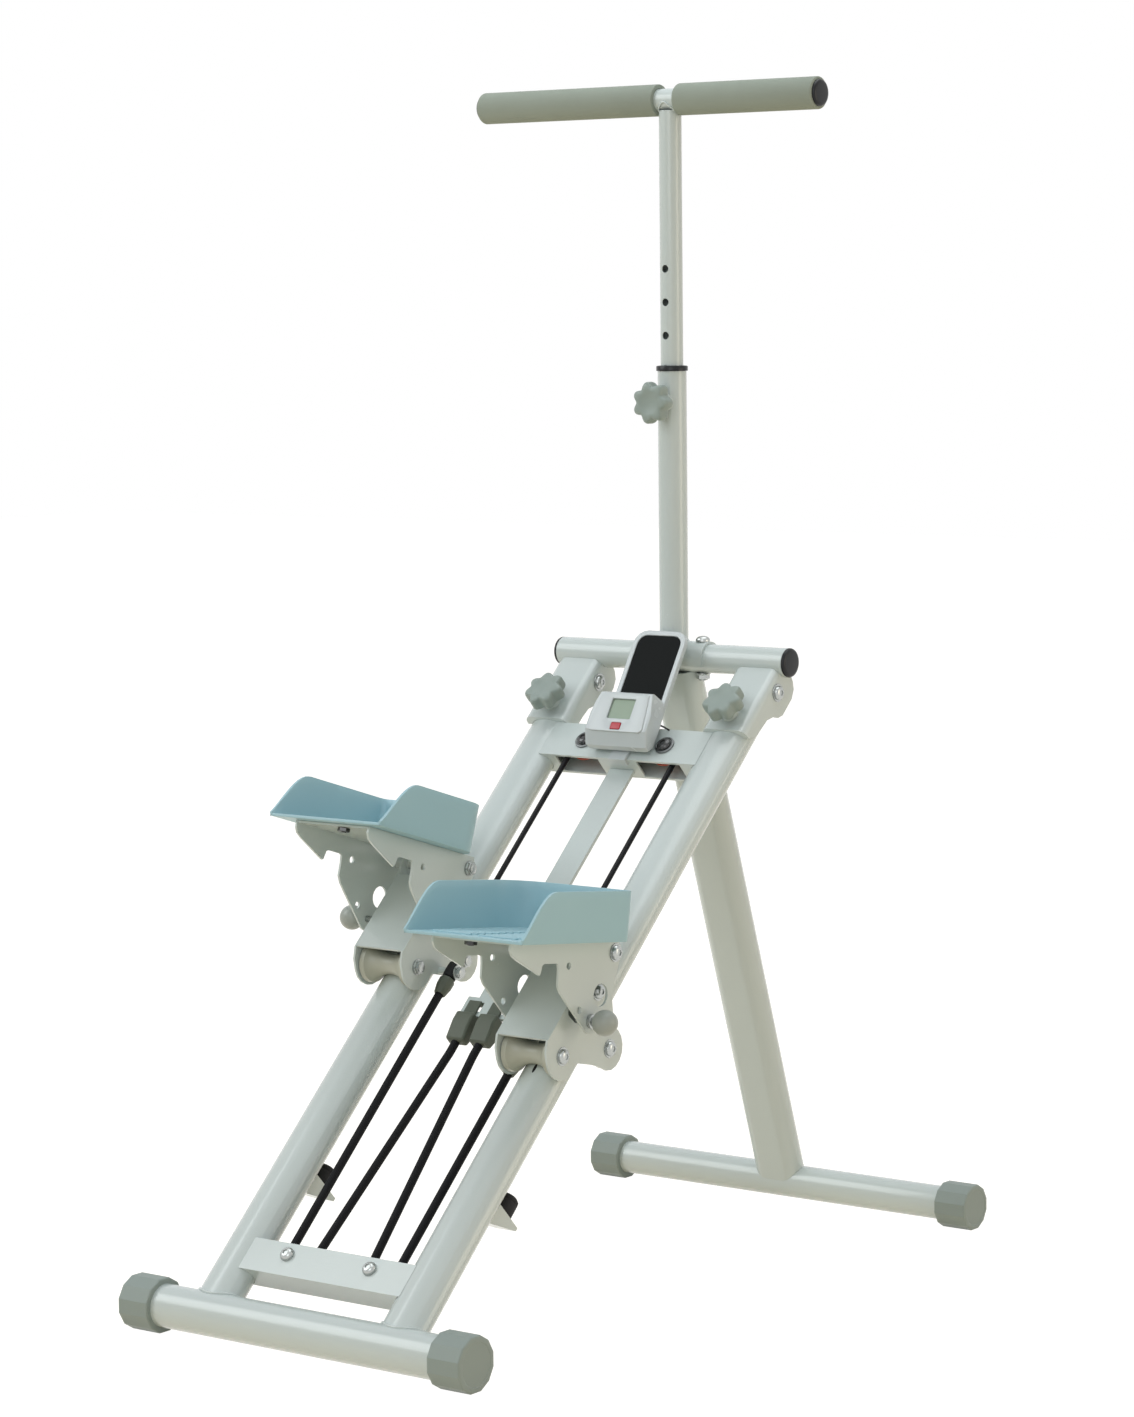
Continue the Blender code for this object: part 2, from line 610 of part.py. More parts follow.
def carriage(side, label):
    s = carriage_s(side)
    place = on_rail(side * RAIL_X, s, 0)
    outline = carriage_outline()
    outer_x = PLATE_INNER_X + SHEET
    plate = prism(outline, PLATE_INNER_X, outer_x, "X")
    frame = finished(f"{label}_carriage_frame", plate, WHITE, place, RAIL_ANGLE)
    second = prism(outline, -outer_x, -PLATE_INNER_X, "X")
    web_x = PLATE_INNER_X + 0.001
    web = box((-web_x, web_x), (-0.003, WEB_TOP_U - 0.001), (WEB_W - SHEET, WEB_W - 0.0001))
    join(
        frame,
        cutter(f"{label}_second_plate", second, place, RAIL_ANGLE),
        cutter(f"{label}_web", web, place, RAIL_ANGLE),
    )
    pivot = reach(PEDAL_PIVOT_U, PEDAL_PIVOT_W)
    tilt = RIGHT_TILT if side > 0 else LEFT_TILT
    slot_angles = [PIN_ANGLE + LEFT_TILT, PIN_ANGLE + RIGHT_TILT]
    clear = PIN_R + 0.0005
    slot = circle(PIN_RADIUS + clear, 6, (0, 0), slot_angles[0], slot_angles[1], False)
    tip = (PIN_RADIUS * math.cos(slot_angles[1]), PIN_RADIUS * math.sin(slot_angles[1]))
    slot += circle(clear, 6, tip, slot_angles[1], slot_angles[1] + math.pi, False)[1:-1]
    slot += circle(PIN_RADIUS - clear, 6, (0, 0), slot_angles[1], slot_angles[0], False)
    tip = (PIN_RADIUS * math.cos(slot_angles[0]), PIN_RADIUS * math.sin(slot_angles[0]))
    slot += circle(clear, 6, tip, slot_angles[0] + math.pi, slot_angles[0] + 2 * math.pi, False)[1:-1]
    ends = sorted((side * (PLATE_INNER_X - 0.002), side * (outer_x + 0.002)))
    cut(frame, cutter(f"{label}_pin_slot", prism(slot, *ends, "X"), place + pivot))
    half = outer_x - 0.0005
    axles = {
        "front_lower_roller": (0, ROLLER_OFFSET),
        "front_upper_roller": (UPPER_ROLLER_U, ROLLER_OFFSET),
        "rear_roller": (REAR_ROLLER_U, -ROLLER_OFFSET),
    }
    for name, (u, w) in axles.items():
        centre = place + reach(u, w)
        join(frame, cutter(f"{label}_{name}_bolt", bolt(-half, half), centre, RAIL_ANGLE))
        finished(f"{label}_{name}", turned(roller_profile(), ROLLER_SEGMENTS), ROLLER, centre, RAIL_ANGLE)
    wide = CHEEK_INNER_X + CHEEK_SHEET + GAP
    join(frame, cutter(f"{label}_pedal_bolt", bolt(-wide, wide), place + pivot, RAIL_ANGLE))
    spacer_half = CHEEK_INNER_X - GAP
    spacer = rod(0.007, -spacer_half, spacer_half, segments=16)
    join(frame, cutter(f"{label}_pivot_spacer", spacer, place + pivot))
    strand_off = RAIL_X - STRAND_X  # from the rail's centre line in to the cable and the cord
    anchors = (("cord", ANCHOR_U, CORD_N, CORD_EYE_R), ("cable", CABLE_ANCHOR_U, CABLE_N, CABLE_EYE_R))
    for tag, u, n, radius in anchors:
        centre = place + reach(u, n)
        span = sorted((-side * (PLATE_INNER_X + 0.001), -side * (strand_off + radius + 0.004)))
        join(frame, cutter(f"{label}_{tag}_anchor_bolt", rod(BOLT_R, *span, segments=12), centre))
        low_half = [(0, -EYE_HALF), (radius - 0.002, -EYE_HALF), (radius, -0.4 * EYE_HALF)]
        eye = turned(low_half + [(r, -along) for r, along in reversed(low_half)], 10, "Y")
        eye_at = centre + Vector((-side * strand_off, 0, 0))
        join(frame, cutter(f"{label}_{tag}_eye", eye, eye_at, RAIL_ANGLE))
    pedal(side, label, place + pivot, tilt)


# Pedals

def cheek_outline():
    """The stamped cheek: a hook and a notch at the heel end, and a lobe round the pull pin."""
    pin = (PIN_RADIUS * math.cos(PIN_ANGLE), PIN_RADIUS * math.sin(PIN_ANGLE))
    nose = [(-0.176, PEDAL_WEB_Z), (-0.1765, 0.006), (-0.173, 0.000), (-0.165, -0.0045)]
    hook = [(-0.129, -0.0195), (-0.1265, -0.0205), (-0.1245, -0.0190), (-0.122, -0.0105), (-0.119, -0.0090)]
    notch = [(-0.0985, -0.0090), (-0.0955, -0.0105), (-0.0945, -0.018), (-0.0945, -0.032)]
    notch += [(-0.090, -0.039), (-0.080, -0.048)]
    lobe = circle(0.013, 8, pin, math.radians(215), math.radians(345), False)
    heel = [(-0.010, -0.056), (-0.002, -0.044), (0.004, -0.022)]
    ear = circle(0.0115, 6, (0, 0), math.radians(-35), math.radians(60), False)
    return nose + hook + notch + lobe + heel + ear + [(0.006, PEDAL_WEB_Z)]


def pedal(side, label, pivot, tilt):
    outline = cheek_outline()
    outer_x = CHEEK_INNER_X + CHEEK_SHEET
    cheek = prism(outline, CHEEK_INNER_X, outer_x, "X")
    bracket = finished(f"{label}_pedal_bracket", cheek, WHITE, pivot, tilt)
    second = prism(outline, -outer_x, -CHEEK_INNER_X, "X")
    web_x = CHEEK_INNER_X + 0.001
    web_z = (PEDAL_WEB_Z - CHEEK_SHEET, PEDAL_WEB_Z - 0.0001)
    web = box((-web_x, web_x), (-0.1755, -0.030), web_z)
    join(
        bracket,
        cutter(f"{label}_second_cheek", second, pivot, tilt),
        cutter(f"{label}_pedal_web", web, pivot, tilt),
    )
    pin = Vector((0, PIN_RADIUS * math.cos(PIN_ANGLE), PIN_RADIUS * math.sin(PIN_ANGLE)))
    far = outer_x + 0.005
    turn = Matrix.Rotation(tilt, 4, "X")
    bores = {
        "pivot_bore": (BOLT_R + RUNNING, Vector((0, 0, 0))),
        "hole_a": (0.0038, Vector((0, -0.078, -0.012))),
        "hole_b": (0.0038, Vector((0, -0.056, -0.0573))),
        "bolt_window": (0.0120, Vector((0, -0.021, -0.043))),
        "pin_bore": (PIN_R + RUNNING, pin),
    }
    for name, (radius, centre) in bores.items():
        bore = rod(radius, -far, far, segments=16)
        cut(bracket, cutter(f"{label}_{name}", bore, pivot + turn @ centre, tilt))
    tray(side, label, pivot, tilt)
    tip = PLATE_INNER_X + 0.0005
    start = outer_x + GAP
    collar_r, collar_h, neck_r, neck_h = 0.0075, 0.004, 0.0055, 0.006
    profile = [(0, tip), (PIN_R, tip), (PIN_R, start)]
    profile += [(collar_r, start), (collar_r, start + collar_h), (neck_r, start + neck_h)]
    centre = start + neck_h + 0.9 * BALL_R
    for i in range(1, 8):
        angle = math.radians(150 - 150 * (i - 1) / 7)
        profile.append((BALL_R * math.sin(angle), centre + BALL_R * math.cos(angle)))
    profile.append((0, centre + BALL_R))
    shape = turned([(r, side * x) for r, x in profile], 16)
    finished(f"{label}_pull_pin", shape, KNOB_GREY, pivot + turn @ pin, tilt)


def tray(side, label, pivot, tilt):
    """A foot tray open at the heel, with a large radius at the toe end's inner corner."""
    half = TRAY_WIDTH / 2
    toe = TRAY_HEEL_Y + TRAY_LENGTH

    def outline(inset, heel):
        inner_r, outer_r = 0.040 - inset, 0.008 - min(inset, 0.006)
        near, far, top = -half + inset, half - inset, toe - inset
        points = [(near, heel), (far, heel)]
        points += circle(outer_r, 4, (far - outer_r, top - outer_r), 0, math.pi / 2, False)
        points += circle(inner_r, 8, (near + inner_r, top - inner_r), math.pi / 2, math.pi, False)
        return [(side * x, y) for x, y in points]

    floor_z = PEDAL_WEB_Z + GAP
    rim_z = floor_z + TRAY_HEIGHT
    made = finished(f"{label}_tray", prism(outline(0, TRAY_HEEL_Y), floor_z, rim_z, "Z"), BLUE, pivot, tilt)
    inside = prism(outline(TRAY_WALL, TRAY_HEEL_Y - 0.02), floor_z + TRAY_WALL, rim_z + 0.02, "Z")
    lip_z = floor_z + 0.004
    rise = 0.052
    curve = []
    for i in range(9):
        t = i / 8
        height = (rim_z - lip_z) * math.sin(math.pi / 2 * t) ** 1.15
        curve.append((TRAY_HEEL_Y + rise * t, lip_z + height))
    before, above = TRAY_HEEL_Y - 0.03, rim_z + 0.03
    waste = [(before, lip_z)] + curve + [(TRAY_HEEL_Y + rise, above), (before, above)]
    cut(
        made,
        cutter(f"{label}_tray_hollow", inside, pivot, tilt),
        cutter(f"{label}_tray_rise", prism(waste, -0.1, 0.1, "X"), pivot, tilt),
    )


for side, label in ((-1, "left"), (1, "right")):
    carriage(side, label)


# Head: crossbar, fold brackets and rear leg

head_half = HEAD_LENGTH / 2 - TUBE_CAP_END
crossbar_tube = round_tube(HEAD_TUBE_R, -head_half + GAP, head_half - GAP, "X")
crossbar = finished("head_crossbar", crossbar_tube, WHITE, HEAD)
for side, label in ((-1, "left"), (1, "right")):
    bore = rod(BOLT_R + RUNNING, -0.03, 0.03, "Z", 16)
    cut(crossbar, cutter(f"saddle_bore_{label}", bore, HEAD + Vector((side * SADDLE_BOLT_X, 0, 0))))
    inside = HEAD_TUBE_R - WALL - GAP
    deep, end = head_half - PLUG_DEPTH, head_half + TUBE_CAP_END
    plug = [(0, deep), (inside, deep), (inside, head_half), (HEAD_TUBE_R, head_half)]
    plug += [(HEAD_TUBE_R, head_half + 0.0015), (HEAD_TUBE_R - 0.003, end), (0, end)]
    finished(f"crossbar_cap_{label}", turned([(r, side * x) for r, x in plug], 20), BLACK, HEAD)


def shoulders(half_width, front, radius):
    """The front of a section, flat with round corners."""
    right = circle(radius, 5, (half_width - radius, front - radius), 0, math.pi / 2, False)
    left = circle(radius, 5, (radius - half_width, front - radius), math.pi / 2, math.pi, False)
    return right + left


def fold_bracket(side, label):
    """A pressed sleeve over the rail's user side, with an ear on each side for the fold bolt."""
    base = FOOT + Vector((side * RAIL_X, 0, 0))
    inner_w, inner_d = RAIL_HALF_WIDTH + GAP, RAIL_HALF_DEPTH + GAP
    outer_w, outer_d = inner_w + SHEET, inner_d + SHEET
    tail = -0.040
    inner_arc = oval(inner_w, inner_d)[OVAL_POINTS // 2::-1]
    section = [(outer_w, tail)] + shoulders(outer_w, outer_d, SLEEVE_CORNER_R)
    section += [(-outer_w, tail), (-inner_w, tail)] + inner_arc + [(inner_w, tail)]
    low, high = RAIL_REACH - BRACKET_BELOW_PIVOT, RAIL_REACH + HEAD_ALONG
    sleeve = finished(f"fold_bracket_{label}", prism(section, low, high, "Y"), WHITE, base, RAIL_ANGLE)
    room_w = inner_w + 0.0002
    room = [(room_w, -0.06)] + shoulders(room_w, inner_d, SLEEVE_CORNER_R - 0.004) + [(-room_w, -0.06)]
    room = prism(room, RAIL_REACH - NOSE_STEP - 0.003, high + 0.02, "Y")
    cut(sleeve, cutter(f"nose_room_{label}", room, base, RAIL_ANGLE))
    p = RAIL_REACH
    waste = [(low - 0.01, -0.06), (low - 0.01, 0.010), (low, 0.008)]
    waste += [(p - 0.060, -0.001), (p - 0.034, -0.004), (p - 0.024, -0.010), (p - 0.018, -0.018)]
    waste += [(p - 0.010, -0.0225), (p + 0.014, -0.0225), (p + 0.024, -0.018), (p + 0.029, -0.010)]
    waste += [(p + 0.031, -0.001), (high + 0.01, -0.001), (high + 0.01, -0.06)]
    cut(sleeve, cutter(f"bracket_edge_{label}", prism(waste, -0.05, 0.05, "X"), base, RAIL_ANGLE))
    knob_at = base + reach(RAIL_REACH - FOLD_KNOB_BELOW_PIVOT, 0)
    seat = outer_d + FOLD_BOSS_H
    boss = rod(BOSS_R, inner_d + 0.0008, seat, "Z", 20)
    join(sleeve, cutter(f"bracket_boss_{label}", boss, knob_at, RAIL_ANGLE))
    pivot = base + reach(RAIL_REACH, PIVOT_OUT)
    bore = BOLT_R + RUNNING
    pivot_bore = rod(bore, -0.05, 0.05, segments=16)
    cope = rod(HEAD_TUBE_R + GAP, -0.06, 0.06)
    cut(
        sleeve,
        cutter(f"head_cope_{label}", cope, HEAD + Vector((side * RAIL_X, 0, 0))),
        cutter(f"bracket_bore_{label}", pivot_bore, pivot, RAIL_ANGLE),
        cutter(f"boss_bore_{label}", rod(bore, 0, 0.05, "Z", 16), knob_at, RAIL_ANGLE),
    )
    ends = outer_w + GAP
    finished(f"fold_bolt_{label}", bolt(-ends, ends), ZINC, pivot, RAIL_ANGLE)
    star_knob(f"fold_knob_{label}", knob_at, RAIL_ANGLE, seat + GAP, RAIL_HALF_DEPTH + GAP)


def star_knob(name, place, turn, seat, tip, lobes=7):
    """A seven-lobed knob that stands on its seat, with its threaded stud down to the tip."""
    low = seat + 0.004
    outline = []
    for i in range(lobes * 5):
        angle = 2 * math.pi * i / (lobes * 5)
        radius = KNOB_R * (1 + 0.09 * math.cos(lobes * angle))
        outline.append((radius * math.cos(angle), radius * math.sin(angle)))
    knob = finished(name, prism(outline, low, low + KNOB_HEIGHT, "Z"), KNOB_GREY, place, turn)
    bevel(knob, 0.003, 1, math.radians(60))
    join(
        knob,
        cutter(name + "_neck", rod(BOSS_R, seat, low + 0.002, "Z", 20), place, turn),
        cutter(name + "_stud", rod(BOLT_R, tip, low + 0.003, "Z", 12), place, turn),
    )


for side, label in ((-1, "left"), (1, "right")):
    fold_bracket(side, label)

leg_run = HEAD - REAR_FOOT
leg_turn = math.atan2(leg_run.z, leg_run.y) - math.pi / 2
leg_outer = stadium(LEG_HALF_WIDTH, LEG_HALF_DEPTH)
leg_inner = stadium(LEG_HALF_WIDTH - WALL, LEG_HALF_DEPTH - WALL)
leg = finished("rear_leg", hollow(leg_outer, leg_inner, 0, leg_run.length, "Z"), WHITE, REAR_FOOT, leg_turn)
leg_top = box((-0.06, 0.06), (-0.06, 0.06), (leg_run.length - LEG_TOP_TRIM, leg_run.length + 0.05))
cut(
    leg,
    cutter("leg_foot_cope", rod(REAR_TUBE_R + GAP, -0.06, 0.06), REAR_FOOT),
    cutter("leg_head_cope", rod(HEAD_TUBE_R + GAP, -0.06, 0.06), HEAD),
    cutter("leg_end_trim", leg_top, REAR_FOOT, leg_turn),
)

# Stem

stem_foot = HEAD_TUBE_R + GAP
stem = finished("outer_stem", round_tube(STEM_R, HEAD_TUBE_R + 0.001, STEM_ABOVE_HEAD, "Z"), WHITE, HEAD)
saddle_arc = circle(stem_foot + SHEET, 17, start=math.radians(-25), end=math.radians(205), closed=False)
join(stem, cutter("saddle", prism(saddle_arc, -SADDLE_HALF, SADDLE_HALF, "X"), HEAD))
cut(stem, cutter("stem_cope", rod(stem_foot, -0.06, 0.06), HEAD))
for side, label in ((-1, "left"), (1, "right")):
    saddle_bolt = bolt(-HEAD_TUBE_R - GAP, stem_foot + SHEET - 0.0005, axis="Z")
    join(stem, cutter(f"saddle_bolt_{label}", saddle_bolt, HEAD + Vector((side * SADDLE_BOLT_X, 0, 0))))
knob_at = HEAD + Vector((0, 0, KNOB_ABOVE_HEAD))
knob_seat = STEM_R + STEM_BOSS_H
stem_boss = rod(BOSS_R, STEM_R - 0.003, knob_seat, "Z", 20)
join(stem, cutter("stem_boss", stem_boss, knob_at, math.pi / 2))
cut(stem, cutter("stem_boss_bore", rod(BOLT_R + RUNNING, 0, 0.05, "Z", 16), knob_at, math.pi / 2))
star_knob("height_knob", knob_at, math.pi / 2, knob_seat + GAP, INNER_STEM_R + GAP)
collar_r = STEM_R + 0.0015
collar = [(INNER_STEM_R + RUNNING, 0), (collar_r, 0), (collar_r, 0.005), (INNER_STEM_R + RUNNING, 0.006)]
collar_at = HEAD + Vector((0, 0, STEM_ABOVE_HEAD + GAP))
finished("stem_collar", turned(collar, ROUND, "Z"), BLACK, collar_at)

# Handlebar: the inner stem with its welded bar, and its row of height holes
bar_at = HEAD + Vector((0, 0, BAR_ABOVE_HEAD))
bar_low, bar_high = -BAR_LEFT + TUBE_CAP_END, BAR_RIGHT - TUBE_CAP_END
inner_tube = round_tube(INNER_STEM_R, INNER_STEM_LOW, BAR_ABOVE_HEAD - BAR_R + 0.001, "Z", BAR_WALL)
inner_stem = finished("inner_stem", inner_tube, WHITE, HEAD)
cut(inner_stem, cutter("bar_cope", rod(BAR_R - 0.0008, -0.03, 0.03), bar_at))
join(inner_stem, cutter("handlebar", round_tube(BAR_R, bar_low + GAP, bar_high - GAP, "X", BAR_WALL), bar_at))
for i in range(5):
    at = HEAD + Vector((0, 0, KNOB_ABOVE_HEAD + HOLE_PITCH * i))
    cut(inner_stem, cutter(f"height_hole_{i}", rod(BOLT_R + RUNNING, 0, 0.03, "Z", 12), at, math.pi / 2))
for label, side, low, high, end in (
    ("left", -1, bar_low, -BARE_HALF, -BAR_LEFT),
    ("right", 1, BARE_HALF, bar_high, BAR_RIGHT),
):
    bore, edge = BAR_R + GAP, 0.001
    soft = [(bore, low), (GRIP_R - edge, low), (GRIP_R, low + edge)]
    soft += [(GRIP_R, high - edge), (GRIP_R - edge, high), (bore, high)]
    finished(f"grip_{label}", turned(soft, ROUND), FOAM, bar_at)
    seat = end - side * (TUBE_CAP_END - GAP)
    inside = BAR_R - BAR_WALL - GAP
    deep = seat - side * PLUG_DEPTH
    plug = [(0, deep), (inside, deep), (inside, seat), (BAR_CAP_R, seat)]
    plug += [(BAR_CAP_R, end - side * 0.0015), (BAR_CAP_R - 0.0025, end), (0, end)]
    finished(f"bar_cap_{label}", turned(plug, 20), BLACK, bar_at)


# Console

console_at = on_rail(CONSOLE_X, CONSOLE_S, CONSOLE_OUT)
console_turn = RAIL_ANGLE + CONSOLE_TILT
console_half = CONSOLE_WIDTH / 2
shell = [(0.003, 0.0), (CONSOLE_HEIGHT - 0.002, 0.0), (CONSOLE_HEIGHT, -0.003)]
shell += [(CONSOLE_HEIGHT, -CONSOLE_DEPTH), (-0.006, -CONSOLE_DEPTH), (-0.013, -0.018), (-0.012, -0.010)]
housing_shape = prism(shell, -console_half, console_half, "X")
housing = finished("console_housing", housing_shape, CONSOLE_WHITE, console_at, console_turn)
bevel(housing, 0.005, 2, math.radians(60))
for side in (-1, 1):
    taper_low, taper_high, away = 0.018, CONSOLE_HEIGHT + 0.004, side * (console_half + 0.02)
    corner = [(away, taper_low), (side * console_half, taper_low)]
    corner += [(side * (console_half - CONSOLE_TAPER), taper_high), (away, taper_high)]
    cut(housing, cutter(f"console_taper_{side}", prism(corner, -0.05, 0.02, "Z"), console_at, console_turn))
recess = box((-WINDOW_HALF_X, WINDOW_HALF_X), (WINDOW_LOW, WINDOW_HIGH), (-WINDOW_DEPTH, 0.02))
cut(housing, cutter("window_recess", recess, console_at, console_turn))
pane_half = WINDOW_HALF_X - GAP
pane = box((-pane_half, pane_half), (WINDOW_LOW + GAP, WINDOW_HIGH - GAP), (-WINDOW_DEPTH + GAP, -0.0012))
finished("console_display", pane, DISPLAY, console_at, console_turn)
well_x, well_y = BUTTON_HALF_X + GAP, BUTTON_HALF_Y + GAP
well = box((-well_x, well_x), (BUTTON_Y - well_y, BUTTON_Y + well_y), (-0.006, 0.02))
cut(housing, cutter("button_well", well, console_at, console_turn))
button_y = (BUTTON_Y - BUTTON_HALF_Y, BUTTON_Y + BUTTON_HALF_Y)
button = box((-BUTTON_HALF_X, BUTTON_HALF_X), button_y, (-0.0035, 0.0015))
finished("reset_button", button, BUTTON_RED, console_at, console_turn)
# The clip under the housing hooks round the cross member's lower edge
clip_front = CROSS_HALF_DEPTH + GAP
clip_low = UPPER_CROSS_S - UPPER_CROSS_HALF - GAP
clip_thick = 0.003
hook_low, hook_back = clip_low - clip_thick, clip_front - 0.007
clip = [(hook_low, clip_front + clip_thick), (CONSOLE_S + 0.004, clip_front + clip_thick)]
clip += [(CONSOLE_S + 0.022, clip_front + 0.010), (CONSOLE_S + 0.022, clip_front)]
clip += [(clip_low, clip_front), (clip_low, hook_back), (hook_low, hook_back)]
clip_shape = prism(clip, -CLIP_HALF, CLIP_HALF, "X")
join(housing, cutter("console_clip", clip_shape, on_rail(CONSOLE_X, 0, 0), RAIL_ANGLE))

rest_z = -CONSOLE_DEPTH - GAP


def rounded(half, low, high, radius):
    points = circle(radius, 5, (half - radius, high - radius), 0, math.pi / 2, False)
    points += circle(radius, 5, (radius - half, high - radius), math.pi / 2, math.pi, False)
    return points + [(-half, low), (half, low)]


rest_top = REST_LOW + REST_LENGTH
rest_outline = rounded(REST_WIDTH / 2, REST_LOW, rest_top, REST_CORNER_R)
rest_shape = prism(rest_outline, rest_z - REST_THICK, rest_z, "Z")
rest = finished("phone_rest", rest_shape, CONSOLE_WHITE, console_at, console_turn)
pad_half, pad_low, pad_top = REST_WIDTH / 2 - PAD_INSET, CONSOLE_HEIGHT + 0.001, rest_top - PAD_INSET
pad_floor = rest_z - PAD_DEPTH
pad_room = prism(rounded(pad_half, pad_low, pad_top, PAD_CORNER_R), pad_floor, rest_z + 0.01, "Z")
cut(rest, cutter("pad_recess", pad_room, console_at, console_turn))
pad_outline = rounded(pad_half - GAP, pad_low + GAP, pad_top - GAP, PAD_CORNER_R)
pad = prism(pad_outline, pad_floor + GAP, rest_z - 0.0004, "Z")
finished("phone_pad", pad, RUBBER, console_at, console_turn)
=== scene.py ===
"""The looks of a folding stair climber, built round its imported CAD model."""

import json
import math

import bpy
from mathutils import Matrix, Vector

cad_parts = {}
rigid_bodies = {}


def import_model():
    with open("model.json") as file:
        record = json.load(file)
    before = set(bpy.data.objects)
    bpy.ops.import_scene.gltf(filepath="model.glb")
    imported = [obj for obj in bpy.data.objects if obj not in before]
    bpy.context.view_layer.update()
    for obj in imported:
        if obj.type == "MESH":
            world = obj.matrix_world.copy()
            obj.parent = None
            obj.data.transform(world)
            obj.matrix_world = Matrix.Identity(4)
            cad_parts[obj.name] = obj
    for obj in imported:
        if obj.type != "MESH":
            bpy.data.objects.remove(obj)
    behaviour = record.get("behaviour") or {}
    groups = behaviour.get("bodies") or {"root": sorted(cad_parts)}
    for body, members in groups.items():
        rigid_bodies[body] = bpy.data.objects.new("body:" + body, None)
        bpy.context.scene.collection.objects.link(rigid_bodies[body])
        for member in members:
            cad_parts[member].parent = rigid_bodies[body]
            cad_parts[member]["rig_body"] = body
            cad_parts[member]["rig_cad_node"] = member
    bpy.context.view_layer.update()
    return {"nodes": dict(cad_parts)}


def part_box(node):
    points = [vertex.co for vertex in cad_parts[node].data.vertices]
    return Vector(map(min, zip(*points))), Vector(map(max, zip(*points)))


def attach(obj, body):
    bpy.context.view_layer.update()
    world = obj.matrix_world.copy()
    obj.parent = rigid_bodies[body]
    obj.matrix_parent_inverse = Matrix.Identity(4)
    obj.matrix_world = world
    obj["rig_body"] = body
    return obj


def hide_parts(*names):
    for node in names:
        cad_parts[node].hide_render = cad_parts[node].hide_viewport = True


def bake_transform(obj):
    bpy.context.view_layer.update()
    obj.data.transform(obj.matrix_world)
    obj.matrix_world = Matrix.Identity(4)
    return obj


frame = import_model()


# The studio: a pale paper floor in a white surround, with large soft lamps round the climber, so
# that its gloss paint shows long smooth highlights. The camera stands where the photographer
# stood, to the right of the climber and lower than its handlebar, and looks a little down.
def soft_lamp(name, place, target, size, watts, colour):
    data = bpy.data.lights.new(name, "AREA")
    data.color = colour
    data.shape = "RECTANGLE"
    data.size, data.size_y = size
    data.energy = watts
    lamp = bpy.data.objects.new(name, data)
    bpy.context.scene.collection.objects.link(lamp)
    lamp.location = place
    lamp.rotation_euler = (Vector(target) - Vector(place)).to_track_quat("-Z", "Y").to_euler()


cool, warm = (0.94, 0.985, 1.0), (1.0, 0.88, 0.70)
soft_lamp("window_lamp", (-2.6, -2.4, 2.9), (0, 0, 0.5), (2.4, 2.4), 58, cool)
soft_lamp("front_lamp", (1.6, -3.6, 2.2), (0, 0, 0.6), (1.8, 2.2), 26, cool)
soft_lamp("side_lamp", (3.2, 1.0, 1.0), (0, 0, 0.5), (1.4, 1.8), 18, warm)
soft_lamp("top_lamp", (0.2, 0.4, 3.6), (0, 0, 0.5), (2.6, 2.6), 44, cool)

camera_data = bpy.data.cameras.new("camera")
camera_data.sensor_fit = "HORIZONTAL"
camera_data.sensor_width = 36
camera_data.lens = 126.57
camera_data.clip_end = 50
camera = bpy.data.objects.new("camera", camera_data)
bpy.context.scene.collection.objects.link(camera)
bpy.context.scene.camera = camera
camera_place = Vector((2.5601, -3.3726, 1.0389))
azimuth, pitch, roll = math.radians(37.02), math.radians(5.72), math.radians(-0.59)
level = Vector((math.cos(azimuth), math.sin(azimuth), 0))
ahead = Vector((-level.y, level.x, 0)) * math.cos(pitch) - Vector((0, 0, math.sin(pitch)))
above = level.cross(ahead)
right_way = level * math.cos(roll) + above * math.sin(roll)
up_way = above * math.cos(roll) - level * math.sin(roll)
camera_turn = Matrix((right_way, up_way, -ahead)).transposed().to_4x4()
camera.matrix_world = Matrix.Translation(camera_place) @ camera_turn

bpy.context.scene.view_settings.view_transform = "Standard"


class Value:
    """A socket that adds its own maths nodes when it is used in an expression."""

    def __init__(self, finish, socket):
        self.finish = finish
        self.socket = socket

    def reckoned(self, operation, other):
        return self.finish.node("ShaderNodeMath", {"operation": operation}, {0: self, 1: other})

    def __add__(self, other):
        return self.reckoned("ADD", other)

    def __mul__(self, other):
        return self.reckoned("MULTIPLY", other)

    def __lt__(self, other):
        return self.reckoned("LESS_THAN", other)

    __radd__ = __add__
    __rmul__ = __mul__


class Finish:
    """A material, its shader and the one way in which its nodes are made."""

    def __init__(self, name):
        self.material = bpy.data.materials.new(name)
        self.material.use_nodes = True
        self.tree = self.material.node_tree
        self.shader = self.tree.nodes["Principled BSDF"]

    def fill(self, made, sockets):
        for key, value in sockets.items():
            if isinstance(value, Value):
                self.tree.links.new(value.socket, made.inputs[key])
            else:
                made.inputs[key].default_value = value

    def node(self, kind, settings, sockets, out=0):
        """Adds a node, sets it up, fills its sockets and gives back one of its outputs."""
        made = self.tree.nodes.new(kind)
        for key, value in settings.items():
            setattr(made, key, value)
        self.fill(made, sockets)
        return Value(self, made.outputs[out])

    def place(self):
        return self.node("ShaderNodeTexCoord", {}, {}, "Object")

    def noise(self, scale, detail, rough=0.5):
        sockets = {"Vector": self.place(), "Scale": scale, "Detail": detail, "Roughness": rough}
        return self.node("ShaderNodeTexNoise", {}, sockets)

    def blend(self, share, low, high):
        """Mixes two colours. The Mix node's colour sockets share their names, so they go by number."""
        factor, first, second, result = 0, 6, 7, 2
        sockets = {factor: share, first: (*low, 1), second: (*high, 1)}
        return self.node("ShaderNodeMix", {"data_type": "RGBA"}, sockets, result)

    def bump(self, height, depth, strength):
        return self.node("ShaderNodeBump", {}, {"Height": height, "Distance": depth, "Strength": strength})

    def surface(self, **sockets):
        """Fills the shader's own sockets and gives back the material."""
        self.fill(self.shader, {key.replace("_", " "): value for key, value in sockets.items()})
        return self.material


